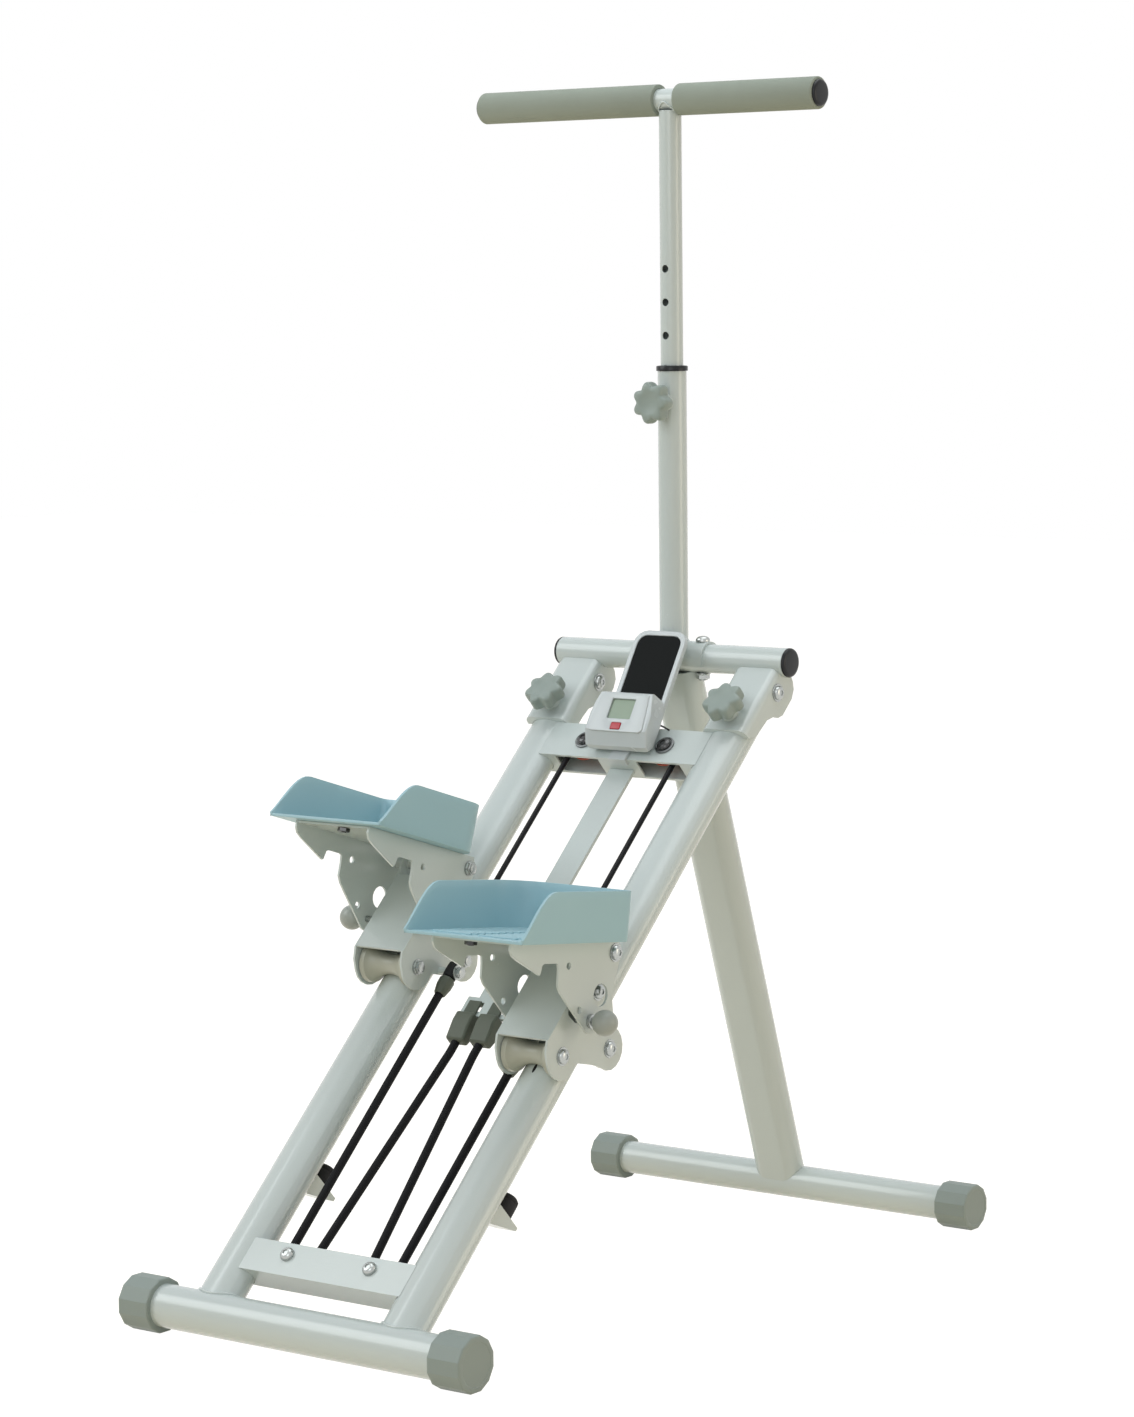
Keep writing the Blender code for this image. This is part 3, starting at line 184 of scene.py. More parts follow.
def white_stage(name, lit_share):
    """Shows white to the camera and in mirrors, and keeps a share of the real light and shadow."""
    finish = Finish(name)
    finish.surface(Base_Color=(0.95, 0.83, 0.62, 1), Roughness=0.9, Specular_IOR_Level=0.1)
    to_camera = finish.node("ShaderNodeLightPath", {}, {}, "Is Camera Ray")
    in_gloss = finish.node("ShaderNodeLightPath", {}, {}, "Is Glossy Ray")
    through_glass = finish.node("ShaderNodeLightPath", {}, {}, "Is Transmission Ray")
    seen = to_camera + in_gloss + through_glass
    lit = Value(finish, finish.shader.outputs[0])
    glow = finish.node("ShaderNodeEmission", {}, {"Color": (1, 1, 1, 1), "Strength": 1.42})
    mixed = finish.node("ShaderNodeMixShader", {}, {0: seen * (1 - lit_share), 1: lit, 2: glow})
    finish.tree.links.new(mixed.socket, finish.tree.nodes["Material Output"].inputs["Surface"])
    return finish.material


bpy.ops.object.select_all(action="DESELECT")
bpy.ops.mesh.primitive_plane_add(size=24)
floor = bpy.context.active_object
floor.name = "studio_floor"
floor.data.materials.append(white_stage("floor_paper", 0.30))

world = bpy.data.worlds.new("studio")
world.use_nodes = True
bpy.context.scene.world = world
sky = world.node_tree
lit_back = sky.nodes["Background"]
lit_back.inputs["Color"].default_value = (0.97, 0.98, 1.0, 1)
lit_back.inputs["Strength"].default_value = 0.26
white_back = sky.nodes.new("ShaderNodeBackground")
white_back.inputs["Color"].default_value = (1, 1, 1, 1)
white_back.inputs["Strength"].default_value = 1.0
sky_rays = sky.nodes.new("ShaderNodeLightPath")
shown = sky_rays.outputs["Is Camera Ray"]
for way in ("Is Glossy Ray", "Is Transmission Ray"):
    either = sky.nodes.new("ShaderNodeMath")
    either.operation = "MAXIMUM"
    sky.links.new(shown, either.inputs[0])
    sky.links.new(sky_rays.outputs[way], either.inputs[1])
    shown = either.outputs[0]
sky_mix = sky.nodes.new("ShaderNodeMixShader")
sky.links.new(shown, sky_mix.inputs[0])
sky.links.new(lit_back.outputs[0], sky_mix.inputs[1])
sky.links.new(white_back.outputs[0], sky_mix.inputs[2])
sky.links.new(sky_mix.outputs[0], sky.nodes["World Output"].inputs["Surface"])


# The front foot: a round steel tube with a gloss white powder coat, which flows a little as it
# bakes and so carries a faint orange peel. Tubes are drawn hollow with their real wall.
def dimmed(colour, share, lift=0.0):
    return tuple(c * share + lift for c in colour)


def gloss_paint(name, colour):
    finish = Finish(name)
    cloud = finish.noise(5.0, 3.0)
    peel = finish.noise(420.0, 1.0)
    grime = finish.noise(38.0, 4.0, 0.6)
    tone = finish.blend(cloud, dimmed(colour, 0.955), dimmed(colour, 1.02))
    return finish.surface(Base_Color=tone, Roughness=0.20 + grime * 0.10, Coat_Weight=0.35,
                          Coat_Roughness=0.08, Normal=finish.bump(peel, 0.00025, 0.35))


white_paint = gloss_paint("powder_coat", (0.625, 0.690, 0.675))


def facing(side):
    """The turn that lays a piece's axis across the climber, to the left (-1) or to the right (1)."""
    return (0, side * math.pi / 2, 0)


def ends_of(node):
    """A CAD node's centre, and half of its length across the climber."""
    low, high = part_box(node)
    return (low + high) / 2, (high.x - low.x) / 2


def alone(obj):
    bpy.ops.object.select_all(action="DESELECT")
    obj.select_set(True)
    bpy.context.view_layer.objects.active = obj


def placed(obj, place, turn, scale=(1, 1, 1)):
    """Puts the place, turn and scale into the mesh, so that the object ends at the origin."""
    obj.location = place
    obj.rotation_euler = turn
    obj.scale = scale
    alone(obj)
    bpy.ops.object.transform_apply(location=True, rotation=True, scale=True)


def painted(obj, name, material, degrees):
    """Names the piece, gives it its material and smooths its curves."""
    obj.name = name
    obj.data.materials.clear()
    obj.data.materials.append(material)
    alone(obj)
    bpy.ops.object.shade_smooth_by_angle(angle=math.radians(degrees))
    return obj


def finished(obj, name, material, body, degrees=40):
    """The same for a rigid piece, which rides on its body."""
    painted(obj, name, material, degrees)
    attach(obj, body)
    return obj


def spun(profile, place, turn, sides=48, stretch=1.0):
    """Round stock, extruded from a ring by (radius, height) pairs. Equal ends close on each other."""
    radius, height = profile[0]
    bpy.ops.object.select_all(action="DESELECT")
    bpy.ops.mesh.primitive_circle_add(vertices=sides, radius=radius, location=(0, 0, height))
    obj = bpy.context.active_object
    bpy.ops.object.transform_apply(location=True)
    bpy.ops.object.mode_set(mode="EDIT")
    bpy.ops.mesh.select_all(action="SELECT")
    if profile[0] != profile[-1]:
        bpy.ops.mesh.edge_face_add()
    for next_radius, next_height in profile[1:]:
        rise, growth = next_height - height, next_radius / radius
        bpy.ops.mesh.extrude_region_move(TRANSFORM_OT_translate={"value": (0, 0, rise)})
        bpy.ops.transform.resize(value=(growth, growth, 1), center_override=(0, 0, next_height))
        radius, height = next_radius, next_height
    bpy.ops.mesh.select_all(action="SELECT")
    bpy.ops.mesh.remove_doubles(threshold=0.000002)
    bpy.ops.mesh.normals_make_consistent(inside=False)
    bpy.ops.object.mode_set(mode="OBJECT")
    placed(obj, place, turn, (1, stretch, 1))
    return obj


def cross_tube(node, name, radius, body):
    """A painted steel tube that lies across the climber."""
    middle, half = ends_of(node)
    wall, lip = 0.002, 0.0003
    inner = radius - wall
    profile = [(inner, -half), (radius - lip, -half), (radius, -half + lip), (radius, half - lip),
               (radius - lip, half), (inner, half), (inner, -half)]
    made = finished(spun(profile, middle, facing(1), 64), name, white_paint, body)
    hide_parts(node)


FRONT_TUBE_R = 0.0225
cross_tube("front_foot_tube", "front_foot_steel", FRONT_TUBE_R, "base")


# Foot caps: moulded twelve-sided polypropylene, matt with a fine spark texture, pushed over the
# tube's ends. Each has a flat face, softened corners and a shallow disc moulded in its end.
def moulded(name, colour, roughness, grain=900.0, depth=0.00008, shine=0.5):
    finish = Finish(name)
    cloud = finish.noise(14.0, 3.0)
    speck = finish.noise(grain, 2.0, 0.6)
    tone = finish.blend(cloud, dimmed(colour, 0.93), dimmed(colour, 1.05))
    return finish.surface(Base_Color=tone, Roughness=roughness - 0.05 + cloud * 0.1,
                          Specular_IOR_Level=shine, Normal=finish.bump(speck, depth, 0.6))


def modified(obj, kind, **settings):
    step = obj.modifiers.new(kind.lower(), kind)
    for key, value in settings.items():
        setattr(step, key, value)
    alone(obj)
    bpy.ops.object.modifier_apply(modifier=step.name)


def softened(obj, width, degrees, segments=2):
    """Rounds the edges that are sharper than an angle."""
    modified(obj, "BEVEL", width=width, segments=segments, limit_method="ANGLE",
             angle_limit=math.radians(degrees))


CORE_R = 0.0004  # the small ring in the middle of a closed end
REAR_TUBE_R = 0.019
SIDE = {"left": -1, "right": 1}
cap_plastic = moulded("cap_polypropylene", (0.290, 0.340, 0.315), 0.52)


def foot_cap(name, body, flat, tube_r):
    sides = 12
    middle, half = ends_of(name)
    outward = 1 if middle.x > 0 else -1
    corner = flat / math.cos(math.pi / sides)
    disc_r, disc_x = corner * 0.80, half - 0.0006
    profile = [(tube_r + 0.0003, -half), (corner - 0.001, -half), (corner, -half + 0.0012),
               (corner, half - 0.002), (corner - 0.0006, half - 0.0007), (corner - 0.0022, half),
               (disc_r, half), (corner * 0.78, disc_x), (CORE_R, disc_x)]
    cap = spun(profile, middle, facing(outward), sides)
    alone(cap)
    bpy.ops.object.mode_set(mode="EDIT")
    bpy.ops.mesh.select_all(action="SELECT")
    bpy.ops.transform.rotate(value=math.pi / sides, orient_axis="X", center_override=middle)
    bpy.ops.object.mode_set(mode="OBJECT")
    softened(cap, 0.0005, 25)
    finished(cap, name + "_moulding", cap_plastic, body, 28)
    modified(cap, "WEIGHTED_NORMAL", keep_sharp=True, weight=80)
    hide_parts(name)


for label in SIDE:
    foot_cap(f"front_foot_cap_{label}", "base", 0.028, FRONT_TUBE_R)
for label in SIDE:
    foot_cap(f"rear_foot_cap_{label}", "head", 0.0252, REAR_TUBE_R)


# The rails: flat-oval steel tube, coped and welded on the front foot, with a pressed nose round
# the fold bolt. A weld bead runs round the joint, under the paint.
def copied(obj):
    """A copy with its own mesh."""
    made = obj.copy()
    made.data = obj.data.copy()
    made.parent = None
    bpy.context.scene.collection.objects.link(made)
    return made


def tidied_copy(node, body, material, name, width, degrees=32, segments=2, flat_faces=True):
    """A merged copy of a CAD piece, with the small edge radius that the pressed or moulded one has."""
    obj = copied(frame["nodes"][node])
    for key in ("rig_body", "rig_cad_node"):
        if key in obj:
            del obj[key]
    alone(obj)
    bpy.ops.object.mode_set(mode="EDIT")
    bpy.ops.mesh.select_all(action="SELECT")
    bpy.ops.mesh.remove_doubles(threshold=0.00001)
    if flat_faces:
        bpy.ops.mesh.dissolve_limited(angle_limit=math.radians(1.0))
    bpy.ops.object.mode_set(mode="OBJECT")
    if "custom_normal" in obj.data.attributes:
        obj.data.attributes.remove(obj.data.attributes["custom_normal"])
    softened(obj, width, degrees, segments)
    finished(obj, name, material, body, 38)
    modified(obj, "WEIGHTED_NORMAL", keep_sharp=True, weight=80)
    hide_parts(node)
    return obj


def swept(name, points, radius, resolution, closed=False, ripple=0.0):
    """A round rod along its points, made a mesh. A ripple swells it by turns, as a weld's beads do."""
    data = bpy.data.curves.new(name, "CURVE")
    data.dimensions = "3D"
    data.bevel_depth = radius
    data.bevel_resolution = resolution
    data.use_fill_caps = not closed
    line = data.splines.new("POLY")
    line.points.add(len(points) - 1)
    for i, (point, place) in enumerate(zip(line.points, points)):
        point.co = (*place, 1)
        point.radius = 1 + ripple * math.sin(2.4 * i)
    line.use_cyclic_u = closed
    obj = bpy.data.objects.new(name, data)
    bpy.context.scene.collection.objects.link(obj)
    alone(obj)
    bpy.ops.object.convert(target="MESH")
    return bpy.context.active_object


def coped_ring(half_x, half_y, tube_r, gap, count=64):
    """Where a tube's end meets a round cross tube, as (x, y, rise) points."""
    ring = []
    for i in range(count):
        angle = 2 * math.pi * i / count
        y = half_y * math.sin(angle)
        ring.append((half_x * math.cos(angle), y, math.sqrt(tube_r**2 - y * y) + gap))
    return ring


def weld(points, radius, name, body):
    bead = swept(name, points, radius, 3, True, 0.12)
    finished(bead, name, white_paint, body, 60)


RAIL_SLOPE = math.radians(43)
ALONG = Vector((0, math.cos(RAIL_SLOPE), math.sin(RAIL_SLOPE)))
OUT = Vector((0, -ALONG.z, ALONG.y))
front_axis = ends_of("front_foot_tube")[0]


def by_rail(x, s, n):
    """A point by its place across the climber, up the rail and square to the rail."""
    return front_axis + Vector((x, 0, 0)) + s * ALONG + n * OUT


RAIL_X = 0.1205
for label, side in SIDE.items():
    rail = tidied_copy(f"{label}_rail", "base", white_paint, f"{label}_rail_steel", 0.0004, 50)
    joint = coped_ring(half_x=0.0262, half_y=0.0182, tube_r=0.0228, gap=0.0004)
    weld([by_rail(side * RAIL_X + x, s, n) for x, n, s in joint], 0.0016, f"{label}_rail_weld", "base")


# A small dark slot shows in the right rail just below its carriage. Its dark is painted shade: a flush
# black plug stands in for the shadowed hole, since what sits in the slot can't be seen.
def turned(profile, place, turn, sides=48, stretch=1.0):
    """Solid round stock, closed to its axis at both ends of its profile."""
    return spun([(CORE_R, profile[0][1]), *profile, (CORE_R, profile[-1][1])], place, turn, sides, stretch)


# painted shade: the black of the plug stands for the dark inside the slot's hole
slot_shade_black = moulded("slot_painted_shade", (0.010, 0.010, 0.011), 0.5, 800.0, 0.00004, 0.2)
lean = Matrix.Rotation(math.radians(-2.75), 3, ALONG)
plug_turn = (lean @ Matrix.Rotation(RAIL_SLOPE, 3, "X")).to_euler()
plug_at = by_rail(RAIL_X - 0.0018, 0.3350, 0.01805)
plug = turned([(0.0018, -0.0020), (0.0018, 0.0)], plug_at, plug_turn, 32, 3.2)
finished(plug, "right_rail_slot_shade_plug", slot_shade_black, "base", 35)


# Bumpers: turned black rubber, screwed on the ledge behind each rail, where the rear roller
# stops at the bottom of its travel.
def rubber(name, colour, roughness=0.62, shine=0.22):
    finish = Finish(name)
    dust = finish.noise(60.0, 5.0, 0.65)
    pits = finish.noise(700.0, 2.0)
    tone = finish.blend(dust, colour, dimmed(colour, 1.6, 0.002))
    return finish.surface(Base_Color=tone, Roughness=roughness - 0.06 + dust * 0.16,
                          Specular_IOR_Level=shine, Normal=finish.bump(pits, 0.0001, 0.5))


RAIL_TURN = (RAIL_SLOPE - math.pi / 2, 0, 0)
BUMPER_S, BUMPER_N = 0.1933, -0.041
black_rubber = rubber("bumper_rubber", (0.014, 0.014, 0.015))
for label, side in SIDE.items():
    pad = turned([(0.0114, 0), (0.012, 0.0006), (0.012, 0.0145), (0.0114, 0.0155), (0.012, 0.0165),
                  (0.0116, 0.0195), (0.0095, 0.0217), (0.0088, 0.022)],
                 by_rail(side * RAIL_X, BUMPER_S, BUMPER_N), RAIL_TURN, 40)
    finished(pad, f"bumper_{label}_rubber", black_rubber, "base", 50)
    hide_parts(f"bumper_{label}")


# Cross members: folded box tube welded between the rails, with slots for the pulleys. The pulleys
# turn on button-head bolts, whose heads show on the front: bright zinc on the lower member, and
# black in pressed cup washers on the upper one.
def zinc(name, tone=(0.46, 0.48, 0.47), roughness=0.20):
    finish = Finish(name)
    cloud = finish.noise(240.0, 3.0)
    colour = finish.blend(cloud, dimmed(tone, 0.86), tone)
    return finish.surface(Base_Color=colour, Metallic=1.0, Roughness=roughness + cloud * 0.16)


def cut(obj, tool):
    modified(obj, "BOOLEAN", object=tool, operation="DIFFERENCE", solver="EXACT")
    bpy.data.objects.remove(tool)


zinc_plate = zinc("zinc_plate")
cup_zinc = zinc("cup_washer_zinc", (0.20, 0.21, 0.21), 0.34)
black_oxide = moulded("black_oxide_steel", (0.012, 0.013, 0.014), 0.16, 400.0, 0.00002, 0.8)


def bolt_head(name, place, turn, body, head_r, height, washer_r=0.0, finish=zinc_plate):
    """A button head with its hexagon socket, standing on a face or on its washer."""
    seat = 0.0009 if washer_r else 0.0
    profile = [(washer_r, 0.0), (washer_r, seat)] if washer_r else []
    profile += [(head_r * 0.98, seat), (head_r, seat + 0.25 * height), (head_r * 0.93, seat + 0.55 * height),
                (head_r * 0.74, seat + 0.84 * height), (head_r * 0.5, seat + height)]
    head = turned(profile, (0, 0, 0), (0, 0, 0), 28)
    bpy.ops.object.select_all(action="DESELECT")
    bpy.ops.mesh.primitive_cylinder_add(vertices=6, radius=head_r * 0.42, depth=height,
                                        location=(0, 0, seat + height * 1.3))
    cut(head, bpy.context.active_object)
    placed(head, place, turn)
    finished(head, name, finish, body, 35)


OUT_TURN = (RAIL_SLOPE, 0, 0)
PULLEY_X = 0.054
PULLEY_S = {"upper": 0.773, "lower": 0.074}
MEMBER_FACE, CUP_FLOOR = 0.0150, 0.0014
for name, s in PULLEY_S.items():
    member = tidied_copy(f"{name}_cross_member", "base", white_paint, f"{name}_cross_member_steel", 0.0007)
    for label, side in SIDE.items():
        bolt_name = f"{name}_pulley_bolt_{label}"
        seat = by_rail(side * PULLEY_X, s, MEMBER_FACE)
        if name == "lower":
            bolt_head(bolt_name, seat, OUT_TURN, "base", head_r=0.0078, height=0.0060)
            continue
        cup = turned([(0.0112, 0.0), (0.0115, 0.0004), (0.0112, 0.0018), (0.0098, 0.0021),
                      (0.0090, CUP_FLOOR)], seat, OUT_TURN, 40)
        finished(cup, bolt_name + "_cup", cup_zinc, "base", 35)
        bolt_head(bolt_name, seat + CUP_FLOOR * OUT, OUT_TURN, "base", head_r=0.0082, height=0.0048,
                  finish=black_oxide)


# Pulleys: orange-red nylon, turning on their bolts inside the cross members. The upper two carry
# the cable and the lower two the elastic cords.
CABLE_N, CORD_N = 0.0075, -0.004
AXLE_BORE = 0.0043
pulley_nylon = moulded("pulley_nylon", (0.58, 0.075, 0.02), 0.36, 500.0, 0.00005)
for name, n, half, groove_r in (("upper", CABLE_N, 0.005, 0.0137), ("lower", CORD_N, 0.007, 0.0122)):
    for label, side in SIDE.items():
        rim, lip, shoulder = 0.0185, 0.0004, 0.0012
        profile = [(AXLE_BORE, -half), (rim - lip, -half), (rim, -half + lip), (rim, -half + shoulder),
                   (groove_r, -half * 0.5), (groove_r, half * 0.5), (rim, half - shoulder), (rim, half - lip),
                   (rim - lip, half), (AXLE_BORE, half), (AXLE_BORE, -half)]
        wheel = spun(profile, by_rail(side * PULLEY_X, PULLEY_S[name], n), OUT_TURN)
        finished(wheel, f"{name}_pulley_{label}_wheel", pulley_nylon, f"{name}_pulley_{label}", 35)
        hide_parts(f"{name}_pulley_{label}")


# The centre bar: a painted steel strip from the upper cross member to the slotted plate, on
# which the elastic cords hang by moulded hooks.
hook_plastic = moulded("hook_moulding", (0.110, 0.125, 0.098), 0.5, 700.0, 0.00008, 0.3)
strip = tidied_copy("centre_bar", "base", white_paint, "centre_bar_steel", 0.0008)
for label in SIDE:
    node = f"cord_hook_{label}"
    hook = tidied_copy(node, "base", hook_plastic, node + "_moulding", 0.0012, 30, 3)


# The lift cable: black plastic-coated wire rope, from one carriage over both upper pulleys to the
# other. Its two runs lie along the rails.
def braid(name, colour, pitch, fleck, roughness):
    """A woven cover, as slanting bands with a fine nap."""
    finish = Finish(name)
    bands = {"wave_type": "BANDS", "bands_direction": "DIAGONAL"}
    sockets = {"Vector": finish.place(), "Scale": pitch, "Distortion": 1.2, "Detail": 1.0}
    weave = finish.node("ShaderNodeTexWave", bands, sockets, 1)
    nap = finish.noise(900.0, 3.0)
    tone = finish.blend(weave * 0.7 + nap * 0.3, colour, dimmed(colour, 1.8, 0.002))
    return finish.surface(Base_Color=tone, Roughness=roughness, Specular_IOR_Level=0.15,
                          Normal=finish.bump(weave * 0.7 + nap * fleck, 0.0004, 0.7))


def laid(points, radius, name, material):
    """A length of cord along its points by the rail."""
    return painted(swept(name, [by_rail(*point) for point in points], radius, 6), name, material, 50)


def straight(start, end, count=24):
    return [tuple(a + (b - a) * i / count for a, b in zip(start, end)) for i in range(count + 1)]


def round_pulley(x, s, n, radius, start, end, count=24):
    angles = [math.radians(start + (end - start) * i / count) for i in range(count + 1)]
    return [(x + radius * math.cos(a), s + radius * math.sin(a), n) for a in angles]


STRAND_X = 0.071
WRAP_R = STRAND_X - PULLEY_X
CARRIAGE_S = {"left": 0.435, "right": 0.346}
CABLE_R = 0.003
wire_cover = braid("wire_rope_cover", (0.006, 0.006, 0.007), 260.0, 0.2, 0.42)
upper_s = PULLEY_S["upper"]
for label, side in SIDE.items():
    low = CARRIAGE_S[label] + 0.0965
    x = side * STRAND_X
    cable = laid(straight((x, upper_s, CABLE_N), (x, low, CABLE_N)), CABLE_R,
                 f"lift_cable_{label}_run", wire_cover)
    by_rail(x, upper_s - 0.013, CABLE_N)
    by_rail(x, low + 0.004, CABLE_N)
    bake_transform(cable)
over = round_pulley(-PULLEY_X, upper_s, CABLE_N, WRAP_R, 180, 90)
over += straight((-0.050, upper_s + WRAP_R, CABLE_N), (0.050, upper_s + WRAP_R, CABLE_N), 8)
over += round_pulley(PULLEY_X, upper_s, CABLE_N, WRAP_R, 90, 0)
crossing = laid(over, CABLE_R, "lift_cable_crossing", wire_cover)
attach(crossing, "base")
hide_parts("lift_cable")


# The elastic cords: rubber strands in a black woven cover, from each carriage's eye round the
# lower pulley and up to the hook.
CORD_R = 0.0045
HOOK_X, HOOK_PLATE_S, HOOK_PLATE_HALF, HOOK_GAP, HOOK_LENGTH = 0.0155, 0.415, 0.012, 0.0005, 0.034
hook_end = HOOK_PLATE_S - HOOK_PLATE_HALF - HOOK_GAP - HOOK_LENGTH
cord_cover = braid("woven_cord_cover", (0.006, 0.006, 0.007), 190.0, 0.6, 0.68)
lower_s = PULLEY_S["lower"]
for label, side in SIDE.items():
    top = CARRIAGE_S[label] + 0.0135
    x = side * STRAND_X
    outer_run = laid(straight((x, lower_s, CORD_N), (x, top, CORD_N), 40), CORD_R,
                     f"elastic_cord_{label}_run", cord_cover)
    by_rail(x, lower_s + 0.016, CORD_N)
    by_rail(x, top - 0.004, CORD_N)
    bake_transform(outer_run)
    loop = round_pulley(PULLEY_X, lower_s, CORD_N, WRAP_R, 360, 188, 28)
    climb = straight(loop[-1], (HOOK_X, hook_end - 0.014, CORD_N), 30)
    path = [(side * x, s, n) for x, s, n in loop + climb[1:] + [(HOOK_X, hook_end, CORD_N)]]
    inner_run = laid(path, CORD_R, f"elastic_cord_{label}_return", cord_cover)
    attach(inner_run, "base")
    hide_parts(f"elastic_cord_{label}")


# The carriage frames: two stamped steel plates joined by a web, gloss white like the rails. The
# rollers and the pedal turn on zinc-plated button-head bolts with nuts on the inner side. The
# cable and the cord end in black eyes with a nut each, and a moulded sleeve holds the cord.
def at_carriage(label, x, u, w):
    return by_rail(SIDE[label] * RAIL_X + x, CARRIAGE_S[label] + u, w)


def nut(name, place, turn, body, across=0.0130, height=0.0062):
    """A hexagon nut with a nylon ring, on its washer."""
    seat, crown = 0.0010, height - 0.0012
    corner = across / 2 / math.cos(math.pi / 6)
    washer = turned([(0.0085, 0), (0.0085, seat)], place, turn, 32)
    finished(washer, name + "_washer", zinc_plate, body, 35)
    flats = [(corner * 0.93, seat), (corner, 0.0016), (corner, height - 0.0018), (corner * 0.9, crown)]
    hexagon = turned(flats, place, turn, 6)
    finished(hexagon, name, zinc_plate, body, 25)
    ring = turned([(0.0052, crown), (0.0052, height), (0.0036, height + 0.0004)], place, turn, 24)
    finished(ring, name + "_ring", zinc_plate, body, 35)


PLATE_X, CHEEK_X = 0.0332, 0.0503
CARRIAGE_BOLTS = {"front_lower_axle": (PLATE_X, 0.0, 0.029), "front_upper_axle": (PLATE_X, 0.085, 0.029),
                  "rear_axle": (PLATE_X, 0.056, -0.029), "pedal_pivot": (CHEEK_X, 0.118, 0.054)}
for label, side in SIDE.items():
    body = f"{label}_carriage"
    plates = tidied_copy(f"{label}_carriage_frame", body, white_paint, f"{label}_carriage_steel", 0.0005)
    for name, (x, u, w) in CARRIAGE_BOLTS.items():
        bolt_head(f"{label}_{name}_bolt", at_carriage(label, side * x, u, w), facing(side), body,
                  head_r=0.0078, height=0.0046, washer_r=0.0096)
        nut(f"{label}_{name}_nut", at_carriage(label, -side * x, u, w), facing(-side), body)
    for name, u, n, radius in (("cord", 0.022, CORD_N, 0.0078), ("cable", 0.087, CABLE_N, 0.0063)):
        end, shoulder, band = 0.0095, 0.0085, 0.004
        eye_at = by_rail(side * STRAND_X, CARRIAGE_S[label] + u, n)
        eye = spun([(radius - 0.0025, -end), (radius - 0.0004, -shoulder), (radius, -band), (radius, band),
                    (radius - 0.0004, shoulder), (radius - 0.0025, end), (CORE_R, end), (CORE_R, -end),
                    (radius - 0.0025, -end)], eye_at, RAIL_TURN, 32)
        finished(eye, f"{label}_{name}_eye_cover", black_rubber, body, 40)
        if name == "cord":
            bore = CORD_R + 0.0002
            sleeve = spun([(bore, -0.0090), (0.0060, -0.0090), (0.0066, -0.0080), (0.0086, 0.0020),
                           (0.0088, 0.0095), (0.0080, 0.0118), (bore, 0.0122), (bore, -0.0090)],
                          by_rail(side * STRAND_X, CARRIAGE_S[label], n), RAIL_TURN, 8)
            softened(sleeve, 0.0011, 25, 3)
            finished(sleeve, f"{label}_cord_sleeve", hook_plastic, body, 30)
        inner_side = by_rail(side * (STRAND_X - radius - 0.0002), CARRIAGE_S[label] + u, n)
        nut(f"{label}_{name}_eye_nut", inner_side, facing(-side), body, across=0.0112, height=0.0060)


# The rollers: cream nylon spools whose waist follows the rail's oval, with a thick flange at each
# end. Three turn in each carriage on its axle bolts, two before the rail and one behind it.
def spool(label, name):
    _, u, w = CARRIAGE_BOLTS[f"{name}_axle"]
    flange, half, lip = 0.022, 0.0295, 0.0008
    waist_half, steps = 0.0236, 26
    oval_at, oval_half, oval_depth = 0.0288, 0.026, 0.018
    profile = [(AXLE_BORE, -half), (flange - lip, -half), (flange, -half + lip)]
    for i in range(steps + 1):
        x = -waist_half + 2 * waist_half * i / steps
        profile.append((min(flange, oval_at - oval_depth * math.sqrt(1 - (x / oval_half) ** 2)), x))
    profile += [(flange, half - lip), (flange - lip, half), (AXLE_BORE, half), (AXLE_BORE, -half)]
    wheel = spun(profile, at_carriage(label, 0, u, w), facing(1), 56)
    finished(wheel, f"{label}_{name}_roller_spool", roller_nylon, f"{label}_{name}_roller", 32)
    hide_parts(f"{label}_{name}_roller")


roller_nylon = moulded("roller_nylon", (0.47, 0.48, 0.40), 0.32, 260.0, 0.00004)
for label in SIDE:
    for name in ("front_lower", "front_upper", "rear"):
        spool(label, name)


# The pedal brackets: two stamped steel cheeks and a web, painted white, with a black nut that
# holds the tray. They swing about the pedal bolt, and the pull pin holds them at a setting.
PEDAL_TILT = {"left": math.radians(-16.8), "right": math.radians(-6.5)}
_, PIVOT_U, PIVOT_W = CARRIAGE_BOLTS["pedal_pivot"]


def at_pedal(label, x, y, z):
    """A point by its place from the pedal bolt: across, along the tray, and up from it."""
    tilt = PEDAL_TILT[label]
    step = Vector((x, y * math.cos(tilt) - z * math.sin(tilt), y * math.sin(tilt) + z * math.cos(tilt)))
    return at_carriage(label, 0, PIVOT_U, PIVOT_W) + step


for label, side in SIDE.items():
    body = f"{label}_pedal"
    bracket = tidied_copy(f"{label}_pedal_bracket", body, white_paint, f"{label}_pedal_steel", 0.0005,
                          flat_faces=False)
    tray_nut = turned([(0.0030, -0.0052), (0.0033, -0.0046), (0.0062, -0.0044), (0.0066, -0.0038),
                       (0.0066, -0.0006), (0.0062, 0.0)],
                      at_pedal(label, -side * 0.008, -0.166, 0.0105), (PEDAL_TILT[label], 0, 0), 6)
    finished(tray_nut, f"{label}_tray_nut", black_oxide, body, 25)


# The trays: injection-moulded pale blue plastic, 3 mm thick, with a fine grain. Side walls rise
# from the heel in an S, the toe wall has a large inner corner, and the floor has grip bars.
def tray_plastic():
    finish = Finish("tray_polypropylene")
    cloud = finish.noise(9.0, 3.0)
    scuff = finish.noise(120.0, 5.0, 0.7)
    grain = finish.noise(1500.0, 2.0)
    tone = finish.blend(cloud, (0.365, 0.570, 0.630), (0.395, 0.605, 0.665))
    return finish.surface(Base_Color=tone, Roughness=0.36 + scuff * 0.14,
                          Normal=finish.bump(grain, 0.00006, 0.6))


tray_blue = tray_plastic()
WIDTH, HEEL, LENGTH, SKIN = 0.152, -0.190, 0.182, 0.003
HEEL_HEIGHT, HEIGHT, RISE = 0.004, 0.052, 0.052
FLOOR_Z = 0.0133


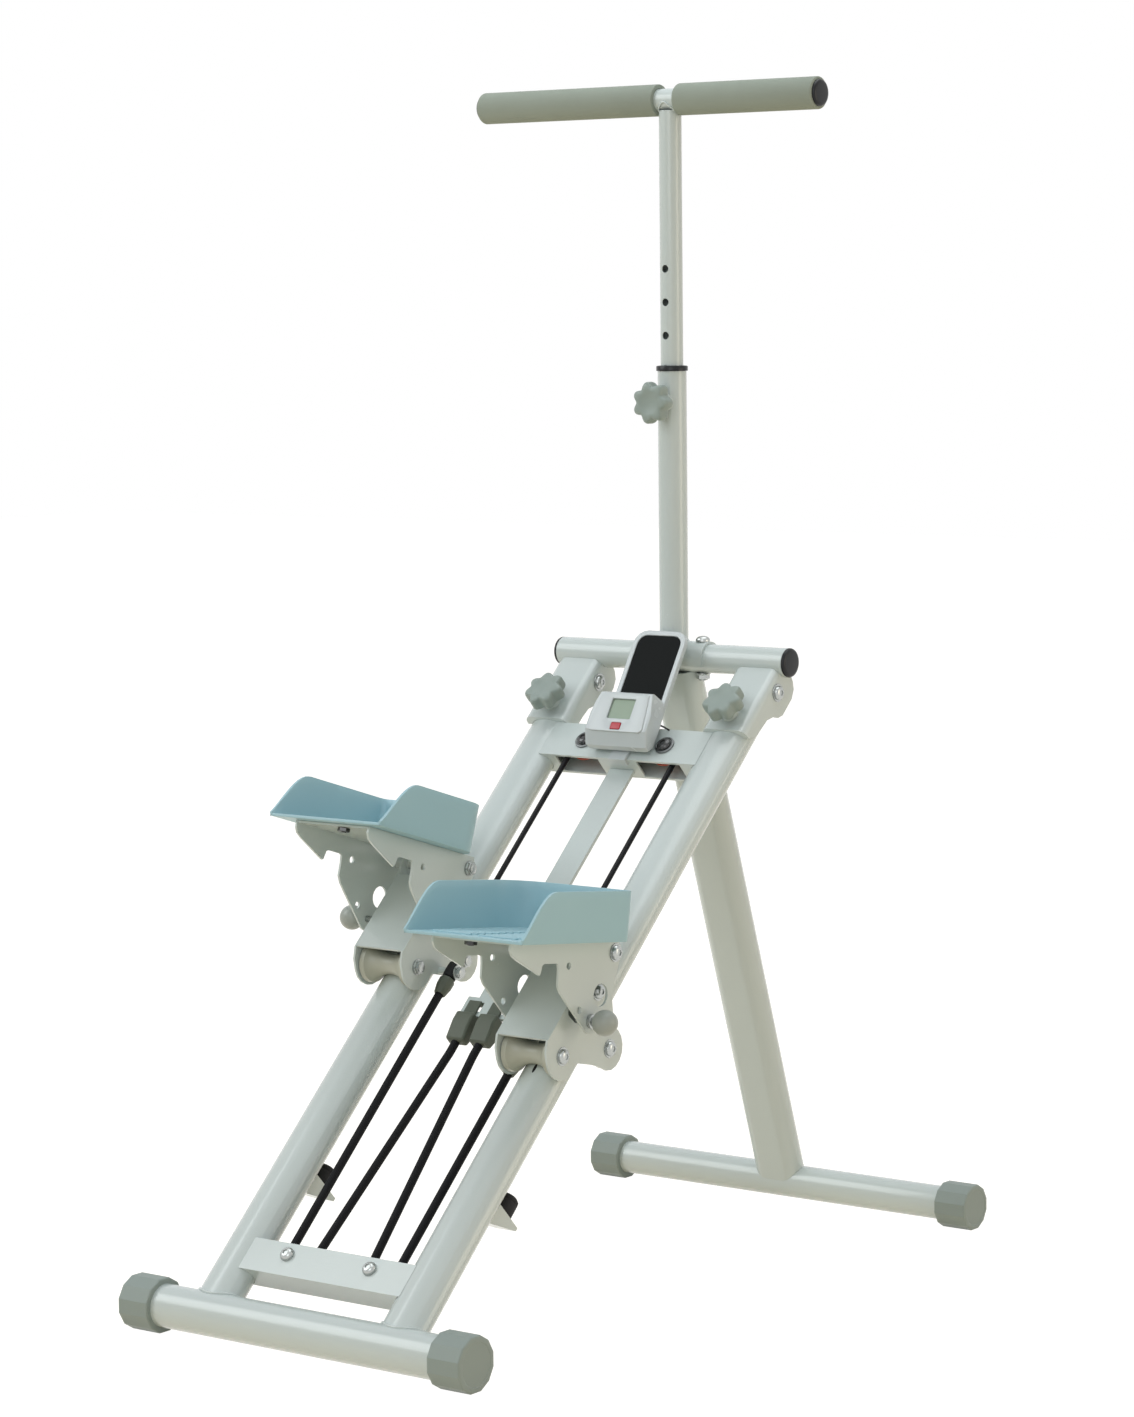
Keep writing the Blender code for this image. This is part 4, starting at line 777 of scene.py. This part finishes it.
def wall_height(y):
    share = min(1.0, max(0.0, (y - HEEL) / RISE))
    return HEEL_HEIGHT + (HEIGHT - HEEL_HEIGHT) * math.sin(math.pi / 2 * share) ** 1.15


def corner_run(cx, cy, radius, start, count=7):
    """A quarter of a circle, from a start in degrees."""
    angles = [math.radians(start + 90 * i / (count - 1)) for i in range(count)]
    return [(cx + radius * math.cos(a), cy + radius * math.sin(a)) for a in angles]


def tray_rim(side):
    """The tray's outline, heel to heel round the toe, as (x, y) points."""
    half, toe = WIDTH / 2, HEEL + LENGTH
    outer_r, inner_r = 0.009, 0.040
    outer_x, inner_x = half - outer_r, -half + inner_r
    outer_y, inner_y = toe - outer_r, toe - inner_r
    run = [(half, HEEL + (outer_y - HEEL) * i / 30) for i in range(30)]
    run += corner_run(outer_x, outer_y, outer_r, 0, 9)
    run += [(outer_x - (outer_x - inner_x) * i / 12, toe) for i in range(1, 12)]
    run += corner_run(inner_x, inner_y, inner_r, 90, 15)
    run += [(-half, inner_y - (inner_y - HEEL) * i / 26) for i in range(1, 27)]
    return [(side * x, y) for x, y in run]


def tray_shell(label, side):
    """The tray's outer skin: a grid bent into its walls, which draw in downwards, closed by a floor."""
    levels, draft = 7, 0.02
    outline = tray_rim(side)
    count = len(outline)
    bpy.ops.object.select_all(action="DESELECT")
    bpy.ops.mesh.primitive_grid_add(x_subdivisions=count - 1, y_subdivisions=levels - 1, size=WIDTH)
    skin = bpy.context.active_object
    for row in range(levels):
        share = row / (levels - 1)
        for vertex, (x, y) in zip(skin.data.vertices[row * count:(row + 1) * count], outline):
            vertex.co = (x * (1 - (1 - share) * draft), y, FLOOR_Z + wall_height(y) * share)
    placed(skin, at_pedal(label, 0, 0, 0), (PEDAL_TILT[label], 0, 0))
    bpy.ops.object.mode_set(mode="EDIT")
    bpy.ops.mesh.select_all(action="DESELECT")
    bpy.ops.object.mode_set(mode="OBJECT")
    for vertex in skin.data.vertices[:count]:  # the grid's first row, which is the floor's outline
        vertex.select = True
    bpy.ops.object.mode_set(mode="EDIT")
    bpy.ops.mesh.edge_face_add()
    bpy.ops.mesh.select_all(action="SELECT")
    bpy.ops.mesh.remove_doubles(threshold=0.00005)
    bpy.ops.mesh.normals_make_consistent(inside=False)
    bpy.ops.object.mode_set(mode="OBJECT")
    return skin


GRIP_SIZE = (0.048, 0.0042, 0.0022)
GRIP_ROWS, GRIP_PITCH, GRIP_X = 13, 0.0115, 0.029
first_grip, grip_z = HEEL + 0.020, FLOOR_Z + SKIN + 0.0006
bpy.ops.object.select_all(action="DESELECT")
bpy.ops.mesh.primitive_cube_add(size=1)
pattern_bar = bpy.context.active_object
placed(pattern_bar, (0, 0, 0), (0, 0, 0), GRIP_SIZE)
softened(pattern_bar, 0.0008, 40)
for label, side in SIDE.items():
    skin = tray_shell(label, side)
    softened(skin, 0.0045, 60, 4)
    modified(skin, "SOLIDIFY", thickness=SKIN, offset=-1, use_even_offset=True, use_quality_normals=True)
    softened(skin, 0.0009, 50)
    finished(skin, f"{label}_tray_moulding", tray_blue, f"{label}_pedal", 40)
    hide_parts(f"{label}_tray")
    for row in range(GRIP_ROWS):
        for column, half_name in ((-1, "inner"), (1, "outer")):
            bar = copied(pattern_bar)
            bar_at = at_pedal(label, column * GRIP_X, first_grip + row * GRIP_PITCH, grip_z)
            placed(bar, bar_at, (PEDAL_TILT[label], 0, 0))
            finished(bar, f"{label}_tray_grip_{row}_{half_name}", tray_blue, f"{label}_pedal")
bpy.data.objects.remove(pattern_bar)


# The pull pins: a zinc-plated pin with a grey ball knob, which springs into the carriage's slot
# through the outer cheek.
PIN_SWING, PIN_REACH = math.radians(242.5), 0.078
BALL_R, BALL_NECK = 0.0135, 148  # the neck in degrees from the ball's outer pole
BALL_X = CHEEK_X + 0.006 + 0.9 * BALL_R
ball_plastic = moulded("ball_knob_plastic", (0.37, 0.40, 0.37), 0.34, 800.0, 0.00004)
for label, side in SIDE.items():
    pin_at = at_pedal(label, 0, PIN_REACH * math.cos(PIN_SWING), PIN_REACH * math.sin(PIN_SWING))
    pin = turned([(0.0031, 0.0312), (0.0035, 0.0316), (0.0035, CHEEK_X), (0.0072, CHEEK_X),
                  (0.0075, 0.0506), (0.0075, 0.0540), (0.0056, 0.0556), (0.0056, 0.0580)],
                 pin_at, facing(side), 32)
    finished(pin, f"{label}_pull_pin_steel", zinc_plate, f"{label}_pull_pin", 35)
    angles = [math.radians(BALL_NECK * (1 - i / 24)) for i in range(25)]
    profile = [(max(CORE_R, BALL_R * math.sin(a)), BALL_X + BALL_R * math.cos(a)) for a in angles]
    ball = spun([(CORE_R, profile[0][1]), *profile], pin_at, facing(side), 40)
    finished(ball, f"{label}_pull_ball", ball_plastic, f"{label}_pull_pin", 60)
    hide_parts(f"{label}_pull_pin")


# The head crossbar: round steel tube across the tops of the rails, painted like the frame, with a
# black plug driven into each end.
HEAD_TUBE_R = 0.016
plug_plastic = moulded("plug_plastic", (0.008, 0.009, 0.011), 0.30, 800.0, 0.00004, 0.3)
head_at = ends_of("head_crossbar")[0]
cross_tube("head_crossbar", "head_crossbar_steel", HEAD_TUBE_R, "head")


def end_plug(name, body, inner_r, head_r, centre_line, seat, end):
    """A plug's plain shank in the tube, and its rounded head outside."""
    outward = 1 if end > 0 else -1
    tall = abs(end - seat)
    profile = [(inner_r - 0.0010, -0.012), (inner_r, -0.0105), (inner_r, 0.0), (head_r, 0.0),
               (head_r, 0.35 * tall), (head_r - 0.0006, 0.68 * tall), (head_r - 0.0020, 0.93 * tall),
               (head_r - 0.0042, tall)]
    plug = turned(profile, centre_line + Vector((seat, 0, 0)), facing(outward))
    finished(plug, name + "_plug", plug_plastic, body, 35)
    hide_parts(name)


for label, side in SIDE.items():
    end_plug(f"crossbar_cap_{label}", "head", 0.0137, HEAD_TUBE_R, head_at, side * 0.1530, side * 0.1570)


# The fold brackets: pressed sleeves over the tops of the rails, welded to the crossbar. Each has
# a boss for its star knob, and turns on the fold bolt, whose domed head shows on its right.
FOLD_S, FOLD_N, FOLD_HALF = 0.868, 0.003, 0.0291
for label, side in SIDE.items():
    node = f"fold_bracket_{label}"
    sleeve = tidied_copy(node, "head", white_paint, node + "_steel", 0.0006, 40)
    pivot = by_rail(side * RAIL_X, FOLD_S, FOLD_N)
    bolt_end = Vector((FOLD_HALF, 0, 0))
    shank = turned([(0.004, -FOLD_HALF), (0.004, FOLD_HALF)], pivot, facing(1), 24)
    finished(shank, f"fold_bolt_{label}_shank", zinc_plate, "head", 35)
    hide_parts(f"fold_bolt_{label}")
    bolt_head(f"fold_bolt_{label}_head", pivot + bolt_end, facing(1), "head",
              head_r=0.0078, height=0.0042, washer_r=0.0098)
    nut(f"fold_bolt_{label}_nut", pivot - bolt_end, facing(-1), "head")


# The rear leg: one flat-oval tube from the middle of the crossbar to the rear foot, welded at
# both ends, and the rear foot's round tube. A black rubber stop sits on the leg's front face.
leg = tidied_copy("rear_leg", "head", white_paint, "rear_leg_steel", 0.0004, 50)
rear_at = ends_of("rear_foot_tube")[0]
leg_way = (head_at - rear_at).normalized()
leg_front = Vector((0, -leg_way.z, leg_way.y))
stop_at = rear_at + 0.478 * leg_way + 0.0171 * leg_front
stop = spun([(CORE_R, 0.0), (0.0108, 0.0), (0.0112, 0.0004), (0.0106, 0.0014), (0.0080, 0.0021),
             (CORE_R, 0.0023)], stop_at, (math.acos(leg_front.z), 0, 0), 40)
finished(stop, "rear_leg_stop", black_rubber, "head", 50)
cross_tube("rear_foot_tube", "rear_foot_steel", REAR_TUBE_R, "head")


# The outer stem: round tube on a half-round saddle, which two bolts hold on the crossbar, with
# lock nuts below. A black bush closes the gap round the inner stem at its top.
stem = tidied_copy("outer_stem", "head", white_paint, "outer_stem_steel", 0.0004, 50)
for label, side in SIDE.items():
    bolt_at = head_at + Vector((side * 0.039, 0, 0))
    top, bottom = bolt_at + Vector((0, 0, 0.0186)), bolt_at - Vector((0, 0, 0.0163))
    bolt_head(f"saddle_bolt_{label}_head", top, (0, 0, 0), "head", head_r=0.0080, height=0.0058)
    nut(f"saddle_bolt_{label}_nut", bottom, (math.pi, 0, 0), "head", height=0.0078)
joint = coped_ring(half_x=0.0162, half_y=0.0162, tube_r=0.0190, gap=0.0002)
weld([head_at + Vector(point) for point in joint], 0.0014, "stem_weld", "head")
bush_bore, bush_at = 0.0128, head_at + Vector((0, 0, 0.3163))
bush = spun([(bush_bore, 0), (0.0172, 0), (0.0175, 0.0003), (0.0175, 0.0046), (0.0169, 0.0055),
             (0.0140, 0.0060), (bush_bore, 0.0060), (bush_bore, 0)], bush_at, (0, 0, 0), 56)
finished(bush, "stem_collar_bush", plug_plastic, "head", 35)
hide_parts("stem_collar")


# The star knobs: moulded grey-green nylon with seven finger lobes, on a zinc-plated stud. One
# clamps each fold bracket, and one sets the height of the handlebar.
knob_nylon = moulded("star_knob_nylon", (0.305, 0.365, 0.335), 0.42, 620.0, 0.00007)


def star_knob(name, place, turn, tip):
    lobes, lobe_root, lobe_reach = 7, 0.0130, 0.0070
    peak, valley = 0.09, 0.06
    profile = [(CORE_R, 0.0), (0.0103, 0.0), (0.0105, 0.0003), (0.0105, 0.0036), (0.0150, 0.0041),
               (0.0192, 0.0047), (0.0209, 0.0062), (0.0215, 0.0086), (0.0215, 0.0162), (0.0211, 0.0182),
               (0.0199, 0.0200), (0.0176, 0.0209), (0.0120, 0.0212), (0.0112, 0.0207), (CORE_R, 0.0206)]
    knob = spun(profile, (0, 0, 0), (0, 0, 0), 20 * lobes)
    for vertex in knob.data.vertices:
        radius = math.hypot(vertex.co.x, vertex.co.y)
        lobe = math.cos(lobes * math.atan2(vertex.co.y, vertex.co.x))
        share = min(1.0, max(0.0, (radius - lobe_root) / lobe_reach))
        swell = 1 + (peak * lobe - valley * (1 - lobe) ** 2 / 4) * share
        vertex.co.x *= swell
        vertex.co.y *= swell
    placed(knob, place, turn)
    finished(knob, name + "_moulding", knob_nylon, name, 40)
    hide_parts(name)
    stud = turned([(0.0036, tip), (0.0040, tip + 0.0004), (0.0040, 0.0010)], place, turn, 24)
    finished(stud, name + "_stud", zinc_plate, name, 35)


for label, side in SIDE.items():
    star_knob(f"fold_knob_{label}", by_rail(side * RAIL_X, 0.819, 0.0271), OUT_TURN, -0.0088)
star_knob("height_knob", head_at + Vector((0, -0.0243, 0.282)), (math.pi / 2, 0, 0), -0.0115)


# The handlebar: a painted inner stem with its row of height holes, and a round bar welded across
# its top. The bar stands off centre, its left arm longer than its right.
stem_and_bar = tidied_copy("inner_stem", "handlebar", white_paint, "inner_stem_steel", 0.0003, 50)
bar_at = head_at + Vector((0, 0, 0.612))
joint = coped_ring(half_x=0.0127, half_y=0.0127, tube_r=0.0129, gap=0.0002, count=56)
weld([bar_at + Vector((x, y, -rise)) for x, y, rise in joint], 0.0012, "handlebar_weld", "handlebar")


# Grips: sleeves of grey-beige foam, closed-cell and soft, pushed on the bar. Each end of the bar
# has a black plug with a wide round head.
def foam():
    finish = Finish("grip_foam_skin")
    cloud = finish.noise(26.0, 4.0, 0.6)
    pores = finish.node("ShaderNodeTexVoronoi", {}, {"Vector": finish.place(), "Scale": 900.0})
    dapple = finish.noise(260.0, 4.0, 0.65)
    tone = finish.blend(cloud, (0.290, 0.325, 0.272), (0.345, 0.385, 0.325))
    return finish.surface(Base_Color=tone, Roughness=0.82,
                          Normal=finish.bump(pores * 0.5 + dapple * 0.5, 0.00035, 0.55))


grip_foam = foam()
for label, seat, end in (("left", -0.2563, -0.2600), ("right", 0.1953, 0.1990)):
    middle, half = ends_of(f"grip_{label}")
    bore, skin_r = 0.0128, 0.0175
    profile = [(bore, -half), (0.0163, -half), (0.0171, -half + 0.0004), (skin_r, -half + 0.0013),
               (skin_r, half - 0.0013), (0.0171, half - 0.0004), (0.0163, half), (bore, half), (bore, -half)]
    grip = spun(profile, middle, facing(1), 64)
    finished(grip, f"grip_{label}_foam", grip_foam, "handlebar", 50)
    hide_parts(f"grip_{label}")
    end_plug(f"bar_cap_{label}", "handlebar", 0.0107, 0.0145, bar_at, seat, end)


# The console: a bluish white ABS housing with a raised face, a liquid-crystal window and one red
# button. A clip under it hooks on the cross member, and the phone rest slides in behind it.
CONSOLE_LEAN = math.radians(58)
CONSOLE_TURN = (CONSOLE_LEAN, 0, 0)
console_at = by_rail(0.004, 0.764, 0.043)


def rounded_outline(low_half, high_half, low, high, low_r, high_r):
    """Four round corners, on a face that may be narrower at its top."""
    low_x, high_x = low_half - low_r, high_half - high_r
    low_y, high_y = low + low_r, high - high_r
    return (corner_run(high_x, high_y, high_r, 0) + corner_run(-high_x, high_y, high_r, 90)
            + corner_run(-low_x, low_y, low_r, 180) + corner_run(low_x, low_y, low_r, 270))


def rounded_box(half, low, high, radius):
    return rounded_outline(half, half, low, high, radius, radius)


def slab(outline, low, high):
    """A plate of the outline's shape on the console, from its low face to its high one."""
    bpy.ops.object.select_all(action="DESELECT")
    bpy.ops.mesh.primitive_circle_add(vertices=len(outline), radius=0.01)
    obj = bpy.context.active_object
    for vertex, (x, y) in zip(obj.data.vertices, outline):
        vertex.co = (x, y, low)
    bpy.ops.object.mode_set(mode="EDIT")
    bpy.ops.mesh.select_all(action="SELECT")
    bpy.ops.mesh.edge_face_add()
    bpy.ops.mesh.extrude_region_move(TRANSFORM_OT_translate={"value": (0, 0, high - low)})
    bpy.ops.mesh.select_all(action="SELECT")
    bpy.ops.mesh.normals_make_consistent(inside=False)
    bpy.ops.object.mode_set(mode="OBJECT")
    placed(obj, console_at, CONSOLE_TURN)
    return obj


console_abs = moulded("console_abs", (0.62, 0.665, 0.675), 0.26, 1100.0, 0.00002)
housing = tidied_copy("console_housing", "base", console_abs, "console_housing_moulding", 0.0014, 28, 3)
face = slab(rounded_outline(0.0365, 0.0315, 0.0008, 0.0478, 0.0055, 0.0035), -0.0010, 0.0011)
window = rounded_box(0.0155, 0.0165, 0.0405, 0.0008)
button_well = rounded_box(0.0068, 0.0032, 0.0118, 0.0016)
for opening in (window, button_well):
    cut(face, slab(opening, -0.004, 0.004))
softened(face, 0.0007, 40, 3)
finished(face, "console_face", console_abs, "base", 40)
red_cap = moulded("button_cap_plastic", (0.50, 0.028, 0.042), 0.34, 900.0, 0.00002)
button = slab(rounded_box(0.0065, 0.0035, 0.0115, 0.0014), -0.0035, 0.0015)
softened(button, 0.0006, 40, 3)
finished(button, "reset_button_cap", red_cap, "reset_button", 40)
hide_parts("reset_button")


def crystal():
    """Grey-green glass with the faint cells of digits that are switched off."""
    finish = Finish("liquid_crystal")
    cell_edges = {"feature": "DISTANCE_TO_EDGE"}
    grid = finish.node("ShaderNodeTexVoronoi", cell_edges, {"Vector": finish.place(), "Scale": 210.0})
    shade = finish.noise(60.0, 2.0)
    tone = finish.blend(shade * 0.8 + (grid < 0.04) * 0.05, (0.300, 0.385, 0.290), (0.335, 0.425, 0.322))
    return finish.surface(Base_Color=tone, Roughness=0.22 + shade * 0.05, Specular_IOR_Level=0.25)


pane = slab(rounded_box(0.0152, 0.0168, 0.0402, 0.0006), -0.0027, -0.0012)
finished(pane, "console_display_glass", crystal(), "base", 40)
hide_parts("console_display")
rest = tidied_copy("phone_rest", "base", console_abs, "phone_rest_moulding", 0.0016, 32, 3)
pad_rubber = rubber("phone_pad_rubber", (0.005, 0.006, 0.006), 0.60, 0.08)
pad = tidied_copy("phone_pad", "base", pad_rubber, "phone_pad_sheet", 0.0002, 40)


# The console's lead: a thin black wire that leaves the housing's back and dips behind the upper
# cross member to its sensor.
lead_route = [(0.034, 0.790, 0.034), (0.038, 0.791, 0.031), (0.042, 0.792, 0.027), (0.0455, 0.7935, 0.022),
              (0.048, 0.795, 0.016), (0.0495, 0.7965, 0.010), (0.050, 0.7975, 0.004)]
lead = laid(lead_route, 0.0010, "console_lead", plug_plastic)
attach(lead, "base")
